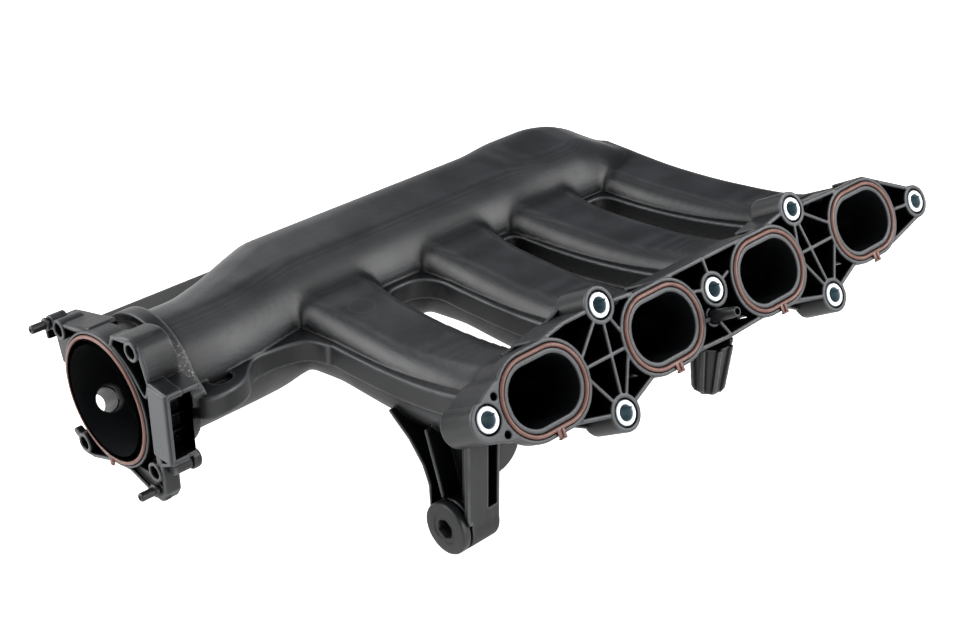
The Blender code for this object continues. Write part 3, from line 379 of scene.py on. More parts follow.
def head_flange(px, pv, depth, core):
    """Adds the flange to the runners' outside and opens its grooves and holes."""
    def stand(shape, low, high, edge=0.0004):
        return extrude(shape, depth, low, high, edge)

    outer = LIP + GROOVE + OUTER_LIP
    port = union(*[rounded(px - c, pv, *PORT_HALF, PORT_CORNER) for c in PORT_X])
    boss = blend(stand(port - outer, -0.0085, 0), stand(port - outer + 0.003, -BOSS_DEPTH, 0), 0.003)
    lug_line = [near(0, -0.018, 0.018), near(0, -0.027, 0.0172), near(0, -0.0308, 0.0166)]
    lug_line += [near(0, -0.0385, 0.0128), near(0, -0.0425, 0.0103)]
    lug_line += arc((SLEEVES[0][0], SLEEVES[0][1] - 0.001), SLEEVE_BOSS + 0.001, 112, 262, 12)
    lug_line += [near(0, -0.032, -0.0156), near(0, -0.018, -0.0195)]
    lug = stand(polygon(px, pv, lug_line), -0.0275, 0, 0.0007)
    walls, ribs = head_lines()
    wall = union(*[chain(px, pv, line, WEB_WALL / 2) for line in walls])
    rib = union(*[chain(px, pv, line, RIB / 2) for line in ribs])
    cups = disc(px, pv, SLEEVE_BOSS, *SLEEVES[1:])
    back = -WEB_DEPTH - WEB_FLOOR
    web = union(
        stand(wall, back, -0.0004), stand(cups, back, -0.0001), stand(rib, back, -0.0002, 0.0003),
        stand(polygon(px, pv, web_outline()), back, -WEB_DEPTH),
        stand(disc(px, pv, 0.0062, TUBE_AT), back, -0.002),
    )
    solid = union(blend(core, boss, 0.004), blend(core, lug, 0.0012), web)
    seat = stand(np.abs(port - LIP - GROOVE / 2) - GROOVE / 2, -GROOVE_DEPTH, 0.004, 0.0002)
    holes = disc(px, pv, SLEEVE_OUTER + 0.0003, *SLEEVES)
    relief = disc(px, pv, 0.0083, *SLEEVES)
    pins = disc(px, pv, 0.0021, near(0, -0.0327, 0.0098), near(0, -0.0331, -0.0113))
    tube = disc(px, pv, 0.0043, TUBE_AT)
    deep = ((holes, -0.04), (relief, -0.0016), (pins, -0.01), (tube, -0.012))
    return cut(common(solid, depth), seat, *[stand(shape, low, 0.004, 0.0001) for shape, low in deep])


# ---- Throttle flange ----
FLANGE_LINE = [
    (0.016, 0.037), (0.044, 0.03), (0.0565, 0.0268), (0.0585, 0.02), (0.0535, -0.001),
    (0.04, 0.000), (0.037, -0.036), (0.031, -0.0495), (0.022, -0.0485), (0.000, -0.0405),
    (-0.016, -0.0385), (-0.04, -0.0445), (-0.0455, -0.0445), (-0.0492, -0.0385), (-0.0492, -0.02),
    (-0.0605, -0.014), (-0.0605, 0.029), (-0.044, 0.03), (-0.0395, 0.043), (-0.0305, 0.049),
    (-0.0124, 0.0455), (-0.01, 0.039),
]
COVER_LINE = [
    (-0.01, 0.039), (-0.0118, 0.0452), (-0.02, 0.0492), (-0.029, 0.0512), (-0.0345, 0.0506),
    (-0.0395, 0.0475), (-0.0425, 0.042), (-0.0445, 0.034), (-0.0448, 0.027), (-0.04, 0.015),
    (-0.028, 0.03),
]
FLANGE_DEPTH, COVER_BACK, BOX_BACK, HOLE_DEPTH, CORNER_BACK = 0.0115, 0.0215, 0.0172, 0.0155, 0.0062


def throttle_flange(depth, py, pz, body):
    """Depth runs into the neck from the sealing face; py and pz are counted from the bore's axis."""
    def stand(shape, low, high, edge=0.0006):
        return extrude(shape, depth, low, high, edge)

    radius = np.hypot(py, pz)
    bore = NECK_BORE
    ring_out = bore + LIP + GROOVE + OUTER_LIP - 0.0007
    outline = polygon(py, pz, FLANGE_LINE)
    low_corner = union(rounded(py + 0.0502, pz + 0.0393, 0.0118, 0.0078, 0.0005),
                       rounded(py + 0.029, pz + 0.0408, 0.011, 0.0063, 0.0005))
    rim = common(np.abs(outline + 0.0004) - 0.0011, union(py - 0.035, 0.015 - pz))
    top_rib = chain(py, pz, [(0.014, 0.037), (0.03, 0.0325), (0.044, 0.0288), (0.0545, 0.0258)], 0.0021)
    cover = polygon(py, pz, curved(COVER_LINE + COVER_LINE[:1]))
    recess = common(stand(py + 0.0462, 0.003, BOX_BACK - 0.0005, 0.0001), slab(pz, -0.0112, 0.0262))
    parts = [
        stand(radius - ring_out, 0, FLANGE_DEPTH + 0.004, 0.0004),
        stand(outline, FLANGE_DEPTH - 0.003, FLANGE_DEPTH), stand(rim, 0.0008, FLANGE_DEPTH - 0.0002, 0.0003),
        stand(common(outline, 0.034 - py), 0.0062, FLANGE_DEPTH),                    # the ear
        stand(common(outline, low_corner - 0.001), 0.0032, 0.01),
        stand(top_rib, 0.0025, 0.0205),
        cut(stand(cover, 0.001, COVER_BACK, 0.001), stand(cover + 0.002, -0.002, 0.009, 0.0003)),
        stand(rounded(py + 0.0525, pz - 0.0075, 0.008, 0.0215, 0.001), -0.0004, BOX_BACK, 0.0008),
        stand(rounded(py + 0.052, pz - 0.0277, 0.0088, 0.0014, 0.0013), 0, 0.0222, 0.0012),
        stand(rounded(py + 0.0467, pz + 0.0199, 0.0027, 0.0069, 0.001), 0.001, HOLE_DEPTH),
        stand(disc(py, pz, 0.0048, PLUG_AT), 0.004, HOLE_DEPTH),
        stand(disc(py, pz, 0.006, *HOLES), -0.0002, HOLE_DEPTH, 0.0004),
        stand(disc(py, pz, 0.0044, PEGS[0]), 0.0012, FLANGE_DEPTH),
        stand(disc(py, pz, 0.0044, PEGS[1]), 0.0012, CORNER_BACK),
        stand(segment(py, pz, (0.033, -0.0425), (0.0405, -0.0398), 0.002), 0.001, 0.006),
        stand(rounded(py + 0.044, pz + 0.0395, 0.0042, 0.0046, 0.001), 0.001, CORNER_BACK),
    ]
    button = np.hypot(depth - 0.0134, pz + 0.0079)
    button = common(button - 0.0021, 0.0009 - button, slab(py, -0.0482, -0.045))
    fins = [common(np.abs(pz - level) - 0.0005, slab(py, -0.05, -0.045), recess)
            for level in (-0.0015, 0.0085, 0.0175)]
    solid = union(cut(blend(union(*parts), body, 0.0015), recess), button, *fins)
    seat = stand(np.abs(radius - bore - LIP - GROOVE / 2) - GROOVE / 2, -0.004, GROOVE_DEPTH, 0.0002)
    screws = stand(disc(py, pz, 0.004, *HOLES), -0.004, HOLE_DEPTH - 0.001, 0.0002)
    sockets = stand(disc(py, pz, 0.0025, *PEGS), -0.004, 0.0075, 0.0002)
    solid = cut(solid, radius - bore, seat, screws, sockets)
    reach = py * cos(NIPPLE_ANGLE) + pz * sin(NIPPLE_ANGLE)
    aside = -py * sin(NIPPLE_ANGLE) + pz * cos(NIPPLE_ANGLE)
    tube = np.hypot(aside, depth - (NIPPLE_X - THROTTLE_X))
    stub = common(tube - NIPPLE_OUTER - 0.003, slab(reach, 0.03, 0.0425), bore - radius)
    return cut(union(solid, stub), common(tube - NIPPLE_BORE, -reach),
               common(tube - NIPPLE_OUTER - 0.0003, 0.0385 - reach))


# ---- Leg and post ----
def support_leg(depth, y, z):
    """Depth runs along +X from the leg's outer face."""
    def stand(shape, low, high, edge=0.0005):
        return extrude(shape, depth, low, high, edge)

    rear = [(0.089, -0.04), (0.073, -0.051), (0.062, -0.063), (0.057, -0.074), (0.0555, -0.093)]
    web = [(0.026, -0.03), (0.025, -0.093)] + rear[::-1]
    front = rounded(y - 0.03115, z + 0.0645, 0.0064, 0.031, 0.002)
    lip = rounded(y - 0.0268, z + 0.06, 0.002, 0.034, 0.001)
    gusset = common(np.hypot(depth - 0.0235, z + 0.045) - 0.0165, slab(y, 0.0262, 0.03))
    parts = [
        stand(polygon(y, z, web), 0.0145, 0.0178), stand(chain(y, z, rear, 0.001), 0.0005, 0.018),
        stand(segment(y, z, (0.06, -0.04), (0.044, -0.085), 0.0011), 0.0008, 0.016),
        stand(lip, 0.0002, 0.024, 0.0008), stand(front, 0.0068, 0.024, 0.0012), gusset,
        stand(disc(y, z, FOOT_RADIUS, FOOT), 0.003, 0.024, 0.001),
    ]
    solid = blend(union(*parts[:3]), union(*parts[3:]), 0.002)
    slot = common(y - 0.0345, slab(z, -0.08, -0.034), slab(depth, 0.015, 0.0218))
    hole = stand(disc(y, z, 0.0085, FOOT), -0.002, 0.0165, 0.0001)
    room = stand(disc(y, z, FOOT_RADIUS + 0.0008, FOOT), -0.004, 0.003, 0.0001)
    through = stand(disc(y, z, 0.0045, FOOT), 0.01, 0.03, 0.0001)
    return cut(solid, slot, hole, room, through)


def finned_post(px, py, pz):
    """px and py are counted from the post's axis."""
    share = (pz - POST_Z[0]) / (POST_Z[1] - POST_Z[0])
    radius = POST_RADIUS[0] + (POST_RADIUS[1] - POST_RADIUS[0]) * share
    around = np.hypot(px, py)
    core = around - radius + 0.0022
    angle = np.arctan2(py, px) - 0.3
    fins = np.abs(around * np.sin((angle + pi / 8) % (pi / 4) - pi / 8)) - 0.0014
    fins = common(fins, around - radius + np.maximum(POST_Z[0] + 0.003 - pz, 0) * 0.5)
    solid = common(blend(core, fins, 0.0008), slab(pz, *POST_Z))
    return cut(solid, common(around - 0.0045, pz - POST_Z[0] - 0.014))


# ---- Meshing ----
CORNERS = [(i, j, k) for i in (0, 1) for j in (0, 1) for k in (0, 1)]     # of one grid cell


def lookup(field, at):
    """Field values between grid nodes, for points given in cells."""
    low = np.clip(at.astype(np.int32), 0, np.array(field.shape) - 2)
    x, y, z = low.T
    fx, fy, fz = (at - low).astype(np.float32).T
    out = 0
    for i, j, k in CORNERS:
        weight = (fx if i else 1 - fx) * (fy if j else 1 - fy) * (fz if k else 1 - fz)
        out = out + weight * field[x + i, y + j, z + k]
    return out


def gradient(field, at, step=1.0):
    """Rise of the field per cell along each axis."""
    return np.stack([lookup(field, at + a) - lookup(field, at - a) for a in np.eye(3) * step], 1) / (2 * step)


def surface_net(field):
    """(points in cells, quads, outward normals) of the field's zero surface."""
    inside = field < 0
    shape = [n - 1 for n in field.shape]
    count = np.zeros(shape, np.uint8)
    for i, j, k in CORNERS:
        count += inside[i : i + shape[0], j : j + shape[1], k : k + shape[2]]
    cells = np.flatnonzero((count > 0) & (count < 8))
    ids = np.full(count.size, -1, np.int32)
    ids[cells] = np.arange(cells.size, dtype=np.int32)
    ids = ids.reshape(shape)
    base = np.stack(np.unravel_index(cells, shape), 1)
    total = np.zeros((cells.size, 3), np.float32)
    hits = np.zeros(cells.size, np.float32)
    values = {c: field[tuple((base + c).T)] for c in CORNERS}
    for start in CORNERS:
        for axis in range(3):
            if start[axis]:
                continue
            end = tuple(1 if n == axis else v for n, v in enumerate(start))
            a, b = values[start], values[end]
            cross = (a < 0) != (b < 0)
            share = np.where(cross, a / np.where(cross, a - b, 1), 0)
            point = np.tile(np.array(start, np.float32), (cells.size, 1))
            point[:, axis] += share
            total += point * cross[:, None]
            hits += cross
    points = base + total / hits[:, None]
    quads = []
    for axis in range(3):
        u, w = (axis + 1) % 3, (axis + 2) % 3
        first = np.take(inside, np.arange(field.shape[axis] - 1), axis)
        second = np.take(inside, np.arange(1, field.shape[axis]), axis)
        at = np.stack(np.nonzero(first != second), 1)
        keep = (at[:, u] > 0) & (at[:, w] > 0) & (at[:, u] < shape[u]) & (at[:, w] < shape[w])
        at = at[keep]
        flip = ~first[tuple(at.T)]
        ring = []
        for du, dw in ((-1, -1), (0, -1), (0, 0), (-1, 0)):
            cell = at.copy()
            cell[:, u] += du
            cell[:, w] += dw
            ring.append(ids[tuple(cell.T)])
        quad = np.stack(ring, 1)
        quad[flip] = quad[flip][:, ::-1]
        quads.append(quad)
    quads = np.concatenate(quads)
    for _ in range(2):           # pull the points onto the surface
        slope = gradient(field, points)
        share = lookup(field, points) / np.maximum((slope**2).sum(1), 1e-12)
        points = points - np.clip(slope * share[:, None], -0.3, 0.3)
    normals = gradient(field, points)
    normals /= np.maximum(np.linalg.norm(normals, axis=1), 1e-9)[:, None]
    return points, quads, normals


def place_object(name, data, place=None):
    obj = bpy.data.objects.new(name, data)
    bpy.context.scene.collection.objects.link(obj)
    if place is not None:
        obj.matrix_world = place
    return obj


def mesh_object(name, points, faces, normals=None, place=None):
    mesh = bpy.data.meshes.new(name)
    faces = np.asarray(faces)
    sides = faces.shape[1]
    mesh.vertices.add(len(points))
    mesh.vertices.foreach_set("co", np.ascontiguousarray(points, np.float32).ravel())
    mesh.loops.add(faces.size)
    mesh.loops.foreach_set("vertex_index", np.ascontiguousarray(faces, np.int32).ravel())
    mesh.polygons.add(len(faces))
    mesh.polygons.foreach_set("loop_start", np.arange(0, faces.size, sides, dtype=np.int32))
    mesh.update(calc_edges=True)
    mesh.validate()
    mesh.shade_smooth()
    if normals is not None:
        mesh.normals_split_custom_set_from_vertices(normals.tolist())
    return place_object(name, mesh, place)


PIECE_QUADS = 95_000
STEPS, QUICK_STEPS = (0.0012, 0.0007), (0.0026, 0.0011)    # grid spacing: shells, then finer patches


def field_pieces(name, field, axes, matrix=None, split=None):
    """Meshes a field whose grid lines are the three axes, in pieces of a moderate number of faces."""
    cells, quads, normals = surface_net(field)
    reach = 1.6
    bend = sum(lookup(field, cells + step) for step in np.vstack([np.eye(3), -np.eye(3)]) * reach)
    spacing = axes[0][1] - axes[0][0]
    # the field's bend at each point, kept as the edge attribute: positive on convex edges, negative in
    # creases; the nylon paints highlights and shade from it
    edge = (bend - 6 * lookup(field, cells)) / (reach * spacing)
    points = np.array([a[0] for a in axes]) + cells * np.array([a[1] - a[0] for a in axes])
    if matrix is not None:
        turn = np.array(matrix)[:3, :3]
        points = points @ turn.T + np.array(matrix)[:3, 3]
        normals = normals @ turn.T
    groups = [np.arange(len(quads))]
    if split is not None:
        chosen = split(cells[quads].mean(1))
        groups = [np.flatnonzero(chosen), np.flatnonzero(~chosen)]
    made = []
    for group in groups:
        order = group[np.argsort(points[quads[group, 0], 0], kind="stable")]
        parts = np.array_split(order, ceil(len(order) / PIECE_QUADS))
        pieces = []
        for part in parts:
            used, faces = np.unique(quads[part], return_inverse=True)
            obj = mesh_object(name, points[used], faces.reshape(-1, 4), normals[used])
            obj.data.attributes.new("edge", "FLOAT", "POINT").data.foreach_set("value", edge[used])
            pieces.append(obj)
        made.append(pieces)
    return made if split is not None else made[0]


# ---- Patches of the two shells ----
HEAD_CUT = -0.027       # on the head flange's depth, where the shells' patch ends
SKIN_START = -0.2675    # along x, where it starts inside the throttle flange's patch
HEAD_END, THROTTLE_END = -0.0335, 0.0285     # depths where those two flanges' patches end


def grid(step, *spans):
    """A patch's three axes, then the first as a column and the others as a net."""
    axes = [np.arange(low, high + step, step, dtype=np.float32) for low, high in spans]
    return axes, axes[0][:, None, None], *np.meshgrid(axes[1], axes[2], indexing="ij")


def build_shells(step):
    axes, x, y, z = grid(step, (-0.269, 0.178), (0.01, 0.2655), (-0.076, 0.02))
    core, whole, over = manifold_body(x, y, z)
    bore = common(np.hypot(y - NECK_Y, z - THROTTLE_Z) - NECK_BORE, x + 0.24)
    shell = cut(whole, core + WALL, bore)
    shell = common(shell, -y * LEAN_COS + z * LEAN_SIN - HEAD_CUT, SKIN_START - x)

    def above_seam(cells):
        i, j, k = np.rint(cells).astype(int).T
        return (over[j, k] > 0) & (axes[0][i] > ARCH_X)

    return field_pieces("skin", shell, axes, split=above_seam)


def build_head(step):
    axes, x, v, n = grid(step, (-0.2, 0.214), (-0.048, 0.043), (-0.0345, 0.001))
    core, whole, _ = manifold_body(x, v * LEAN_SIN - n * LEAN_COS, v * LEAN_COS + n * LEAN_SIN)
    solid = common(head_flange(x, v[:, :1], n[:1], whole), -(core + WALL), HEAD_END - n)
    return field_pieces("head_flange", solid, axes, HEAD)


def build_throttle(step):
    axes, depth, y, z = grid(step, (-0.0015, 0.03), (-0.064, 0.062), (-0.053, 0.053))
    _, whole, _ = manifold_body(depth + THROTTLE_X, y + NECK_Y, z + THROTTLE_Z)
    solid = common(throttle_flange(depth, y, z, whole), depth - THROTTLE_END)
    return field_pieces("throttle_flange", solid, axes, Matrix.Translation((THROTTLE_X, NECK_Y, THROTTLE_Z)))


def build_leg(step):
    axes, depth, y, z = grid(step, (-0.002, 0.042), (0.018, 0.098), (-0.111, -0.026))
    axes[0] = axes[0] + LEG_X
    core, whole, _ = manifold_body(depth + LEG_X, y, z)
    solid = blend(support_leg(depth, y, z), whole + 0.0003, 0.003)
    solid = common(solid, -(core + WALL), slab(y, 0.02, 0.096), slab(depth, -0.001, 0.0405), z + 0.03)
    return field_pieces("support_leg", solid, axes)


def build_post(step):
    reach = POST_RADIUS[1] + 0.002
    spans = [(c - reach, c + reach) for c in POST_AT] + [(POST_Z[0] - 0.002, POST_Z[1] + 0.002)]
    axes, x, y, z = grid(step, *spans)
    return field_pieces("finned_post", finned_post(x - POST_AT[0], y - POST_AT[1], z), axes)


# ---- Small pieces ----
def closed_rings(name, points, rings, count, place, angle=30):
    """Joins rings of points, each closed, into a closed tube."""
    faces = []
    for i in range(rings):
        k = (i + 1) % rings
        for j in range(count):
            m = (j + 1) % count
            faces.append((i * count + j, k * count + j, k * count + m, i * count + m))
    return tidy(mesh_object(name, points, faces, place=place), angle)


def turned(name, profile, place, steps=64):
    """A closed ring of revolution about local z; the profile is (radius, height) points."""
    angles = np.linspace(0, 2 * pi, steps, endpoint=False)
    points = [(r * cos(a), r * sin(a), h) for a in angles for r, h in profile]
    return closed_rings(name, points, steps, len(profile), place)


def tidy(obj, angle=30):
    """Outward normals, sharp edges kept sharp."""
    work = bmesh.new()
    work.from_mesh(obj.data)
    bmesh.ops.remove_doubles(work, verts=work.verts, dist=1e-7)
    bmesh.ops.recalc_face_normals(work, faces=work.faces)
    work.to_mesh(obj.data)
    work.free()
    obj.data.shade_smooth()
    obj.data.set_sharp_from_angle(angle=radians(angle))
    return obj


def cord(name, outline, radius, place, steps=14):
    """A round cord along a closed outline in local xy."""
    line_points = np.array(outline)
    ahead, behind = np.roll(line_points, -1, 0), np.roll(line_points, 1, 0)
    along = ahead - behind
    along /= np.linalg.norm(along, axis=1)[:, None]
    out = np.stack([along[:, 1], -along[:, 0]], 1)
    points = []
    for spot, aside in zip(line_points, out):
        for j in range(steps):
            a = 2 * pi * j / steps
            points.append((*(spot + aside * radius * cos(a)), radius * sin(a)))
    return closed_rings(name, points, len(outline), steps, place, 60)


def port_line(offset, per_corner=20):
    half_x, half_y, corner = PORT_HALF[0] + offset, PORT_HALF[1] + offset, PORT_CORNER + offset
    points = []
    for quarter, (sx, sy) in enumerate(((1, 1), (-1, 1), (-1, -1), (1, -1))):
        centre = (sx * (half_x - corner), sy * (half_y - corner))
        points += arc(centre, corner, 90 * quarter, 90 * quarter + 90, per_corner)
    kept = [points[0]]
    for point in points[1:]:
        if dist(point, kept[-1]) > 2e-4:
            kept.append(point)
    return kept


def box_mesh(name, low, high, place, edge=0.0003):
    work = bmesh.new()
    bmesh.ops.create_cube(work, size=1)
    mesh = bpy.data.meshes.new(name)
    work.to_mesh(mesh)
    work.free()
    middle = [(a + b) / 2 for a, b in zip(low, high)]
    mesh.transform(Matrix.Translation(middle) @ Matrix.Diagonal((*[b - a for a, b in zip(low, high)], 1)))
    obj = place_object(name, mesh, place)
    bevel = obj.modifiers.new("edges", "BEVEL")
    bevel.width, bevel.segments = edge, 2
    bevel.limit_method, bevel.angle_limit = "ANGLE", radians(35)
    return obj


def join_meshes(obj, others):
    """Merges other objects' evaluated meshes into obj, in obj's own frame."""
    bpy.context.view_layer.update()
    graph = bpy.context.evaluated_depsgraph_get()
    work = bmesh.new()
    work.from_mesh(obj.data)
    back = obj.matrix_world.inverted()
    for other in others:
        mesh = bpy.data.meshes.new_from_object(other.evaluated_get(graph))
        mesh.transform(back @ other.matrix_world)
        work.from_mesh(mesh)
        bpy.data.objects.remove(other)
        bpy.data.meshes.remove(mesh)
    work.to_mesh(obj.data)
    work.free()
    obj.data.shade_smooth()
    obj.data.set_sharp_from_angle(angle=radians(40))
    return obj


def head_place(spot, lift=0.0):
    return HEAD @ Matrix.Translation((*spot, lift))


def throttle_place(spot, lift=0.0):
    return THROTTLE @ Matrix.Translation((*spot, lift))


def port_seal(index):
    place = head_place((PORT_X[index], 0), -0.0001)
    ring = cord("seal", port_line(LIP + GROOVE / 2), 0.00118, place)
    edge = -(PORT_HALF[1] + LIP + GROOVE)
    tabs = [
        box_mesh("tab", (-0.0032, edge - 0.0042, 0.0004), (0.0014, edge + 0.0016, 0.0012), place),
        box_mesh("tab_rib", (-0.0005, edge - 0.0044, -0.0002), (0.0014, edge + 0.0012, 0.0022), place),
        box_mesh("tab_end", (-0.0032, edge - 0.0044, -0.0002), (0.0014, edge - 0.0034, 0.002), place),
    ]
    return join_meshes(ring, tabs)


def throttle_seal():
    outline = arc((0, 0), NECK_BORE + LIP + GROOVE / 2, 0, 360, 121)[:-1]
    ring = cord("seal", outline, 0.00118, throttle_place((0, 0), 0.0001))
    outer = NECK_BORE + LIP + GROOVE
    tab = box_mesh("tab", (-0.0013, -outer - 0.0036, -0.0014), (0.0013, -outer + 0.001, 0.0004), THROTTLE)
    return join_meshes(ring, [tab])


def flange_sleeve(index):
    outer, bore = SLEEVE_OUTER, SLEEVE_BORE
    profile = [(outer, -0.0005), (outer - 0.0005, 0), (bore + 0.0004, 0), (bore, -0.0004), (bore, -0.006),
               (bore, -SLEEVE_LENGTH), (outer, -SLEEVE_LENGTH)]
    sleeve = turned("sleeve", profile, head_place(SLEEVES[index]), 96)
    notch_turn, notch_half, notch_depth = 0.3, 0.13, 0.001
    for vertex in sleeve.data.vertices:        # the rolled sleeve's seam leaves a small notch in the bore
        radius = vertex.co.xy.length
        angle = atan2(vertex.co.y, vertex.co.x) - notch_turn
        if radius < 0.0056 and abs(angle) < notch_half:
            push = notch_depth * cos(angle / notch_half * pi / 2)
            vertex.co.xy *= 1 + push / radius
    return sleeve


def locating_tube():
    h = TUBE_HEIGHT
    profile = [(0.003, h - 0.0008), (0.0026, h), (0.002, h), (0.0019, h - 0.0006), (0.0019, -0.0115),
               (0.0039, -0.0115), (0.0039, -0.002), (0.00385, 0.001)]
    return turned("tube", profile, head_place(TUBE_AT), 48)


def insert(place, length):
    """A brass insert with knurled bands."""
    outer, bore = 0.0042, 0.0026
    profile = [(bore, 0.0004), (bore + 0.0004, 0), (outer - 0.0003, 0), (outer, 0.0003),
               (outer, length * 0.42), (outer - 0.0004, length * 0.45), (outer - 0.0004, length * 0.55),
               (outer, length * 0.58),
               (outer, length - 0.0003), (outer - 0.0003, length), (bore + 0.0004, length),
               (bore, length - 0.0004)]
    obj = turned("insert", profile, place, 72)
    for vertex in obj.data.vertices:
        if vertex.co.xy.length > outer - 0.0001:
            turn = atan2(vertex.co.y, vertex.co.x) * 24
            vertex.co.xy *= 1 - 0.015 * (1 + cos(turn))
    return obj


def throttle_peg(spot):
    profile = [(0.0022, 0.0056), (0.0022, -0.0002), (0.0036, -0.0002), (0.0039, -0.0005), (0.0039, -0.0017),
               (0.0036, -0.002), (0.0026, -0.0023), (0.0026, -0.0103), (0.0021, -0.011), (0.0012, -0.011),
               (0.001, -0.0104), (0.001, 0.0056)]
    return turned("peg", profile, throttle_place(spot), 40)


def bracket_plug():
    seat, top = HOLE_DEPTH + 0.0003, HOLE_DEPTH + 0.0062
    profile = [(0.0028, seat - 0.0045), (0.0028, seat), (0.0056, seat), (0.006, seat + 0.0006),
               (0.006, top - 0.0024), (0.0055, top - 0.001), (0.0044, top - 0.0002), (0.0034, top),
               (0.0014, top), (0.001, top - 0.0005), (0.001, seat - 0.0045)]
    return turned("plug", profile, throttle_place(PLUG_AT), 48)


def hose_nipple():
    start, end, slim = 0.0388, 0.056, NIPPLE_OUTER - 0.0016
    profile = [
        (NIPPLE_BORE - 0.0004, start), (NIPPLE_OUTER, start), (NIPPLE_OUTER, 0.0413), (slim, 0.0428),
        (slim, end - 0.0048), (slim + 0.001, end - 0.0044), (slim + 0.0012, end - 0.0038),
        (slim + 0.0002, end - 0.0006), (slim - 0.0004, end), (NIPPLE_BORE - 0.001, end),
        (NIPPLE_BORE - 0.0014, end - 0.0004),
    ]
    turn = Matrix.Rotation(-pi / 2 + NIPPLE_ANGLE, 4, "X")
    return turned("nipple", profile, Matrix.Translation((NIPPLE_X, NECK_Y, THROTTLE_Z)) @ turn, 64)


def foot_place(x):
    return Matrix.Translation((x, *FOOT)) @ Matrix.Rotation(pi / 2, 4, "Y")


def leg_bush():
    """The screw-out bush: rounded disc, hex socket, and a coarse thread on its shank."""
    thick, shank, inner = 0.0055, 0.0082, 0.0065
    end = 0.0185
    profile = [(inner, end), (shank - 0.0006, end), (shank, end - 0.0006)]
    for i in range(6):           # the thread's turns
        base = end - 0.0014 - i * 0.0018
        profile += [(shank - 0.0007, base), (shank, base - 0.0007), (shank, base - 0.0011)]
    profile += [(shank - 0.0006, thick + 0.0003), (shank, thick), (FOOT_RADIUS - 0.0004, thick),
                (FOOT_RADIUS, thick - 0.0005), (FOOT_RADIUS, 0.0012), (FOOT_RADIUS - 0.0004, 0.0004),
                (FOOT_RADIUS - 0.0012, 0), (0.009, 0), (0.0086, 0.0004), (0.0058, 0.0004), (0.0058, thick),
                (inner, thick + 0.0005)]
    bush = turned("bush", profile, foot_place(BUSH_X), 96)
    count = 48
    hexagon = arc((0, 0), HEX_CORNER, 0, 360, 7)
    points = [(*spot, 0.0003) for spot in arc((0, 0), HEX_SEAT, 0, 360, count + 1)[:-1]]
    for height, grow in ((0.0003, 1.07), (0.0008, 1.0), (0.0045, 0.98)):
        for i in range(count):
            (ax, ay), (bx, by) = hexagon[i * 6 // count], hexagon[i * 6 // count + 1]
            s = (i * 6 / count) % 1
            points.append(((ax + (bx - ax) * s) * grow, (ay + (by - ay) * s) * grow, height))
    faces = [(low + i, low + (i + 1) % count, low + count + (i + 1) % count, low + count + i)
             for low in (0, count, 2 * count) for i in range(count)]
    return join_meshes(bush, [mesh_object("socket", points, faces, place=foot_place(BUSH_X))])


def leg_clip():
    outer, thin, length = 0.0062, 0.0008, 0.01
    profile = [(outer, length - 0.0003), (outer - 0.0002, length), (outer - thin, length), (outer - thin, 0),
               (outer - 0.0002, 0), (outer, 0.0003)]
    return turned("clip", profile, foot_place(CLIP_X), 48)


# ---- Materials ----
EJECTOR_MARKS = (((-0.1452, 0.146, -0.0075), 0.55), ((-0.0498, 0.1425, -0.0075), 0.25),
                 ((0.0346, 0.1423, -0.0075), 0.2))     # centre and strength of the rings on the runners
EJECTOR_RADIUS = 0.008
RIM_X = -0.2571                     # end face of the neck's collar
SCUFFED = (-0.2575, 0.156, 0.0)     # middle of the scuffed part of the neck's collar


class Nodes:
    """Short names for building one material's node tree."""

    def __init__(self, name):
        self.material = bpy.data.materials.new(name)
        self.material.use_nodes = True
        self.tree = self.material.node_tree
        self.shader = self.tree.nodes["Principled BSDF"]
        place = self.tree.nodes.new("ShaderNodeNewGeometry")
        self.position, self.normal = place.outputs["Position"], place.outputs["Normal"]

    def link(self, source, target):
        if hasattr(source, "is_linked"):
            self.tree.links.new(source, target)
        else:
            target.default_value = source

    def node(self, kind, *given, named=None, **settings):
        """A new node with its settings and inputs; given inputs are taken in order."""
        made = self.tree.nodes.new("ShaderNode" + kind)
        for key, value in settings.items():
            setattr(made, key, value)
        for target, value in zip(made.inputs, given):
            self.link(value, target)
        for key, value in (named or {}).items():
            self.link(value, made.inputs[key])
        return made

    def noise(self, scale, detail=3, rough=0.5):
        named = {"Vector": self.position, "Scale": scale, "Detail": detail, "Roughness": rough}
        return self.node("TexNoise", named=named).outputs["Fac"]

    def math(self, operation, a, b=0.0):
        return self.node("Math", a, b, operation=operation).outputs[0]

    def times(self, a, b):
        return self.math("MULTIPLY", a, b)

    def remap(self, value, low, high, to_low=0.0, to_high=1.0):
        return self.node("MapRange", value, low, high, to_low, to_high).outputs[0]

    def mix(self, share, a, b):
        a, b = ((*c, 1) if isinstance(c, tuple) else c for c in (a, b))
        return self.node("Mix", share, named={6: a, 7: b}, data_type="RGBA").outputs[2]

    def dot(self, vector, direction):
        return self.node("VectorMath", vector, direction, operation="DOT_PRODUCT").outputs["Value"]

    def distance(self, point):
        return self.node("VectorMath", self.position, point, operation="DISTANCE").outputs["Value"]

    def bump(self, height, strength, distance, before=None):
        named = {"Strength": strength, "Distance": distance, "Height": height}
        if before is not None:
            named["Normal"] = before
        return self.node("Bump", named=named).outputs["Normal"]

    def openness(self, distance=0.025):
        """1 in the open, falling to 0 deep inside recesses: an ambient occlusion measure, used for painted
        shade.
        """
        made = self.node("AmbientOcclusion", named={"Distance": distance}, samples=6)
        return self.remap(made.outputs["AO"], 0.42, 0.9)

    def finish(self, colour, roughness, metallic, normal, **more):
        for key, value in (("Base Color", colour), ("Roughness", roughness), ("Metallic", metallic),
                           ("Normal", normal), *more.items()):
            self.link(value, self.shader.inputs[key])
        return self.material


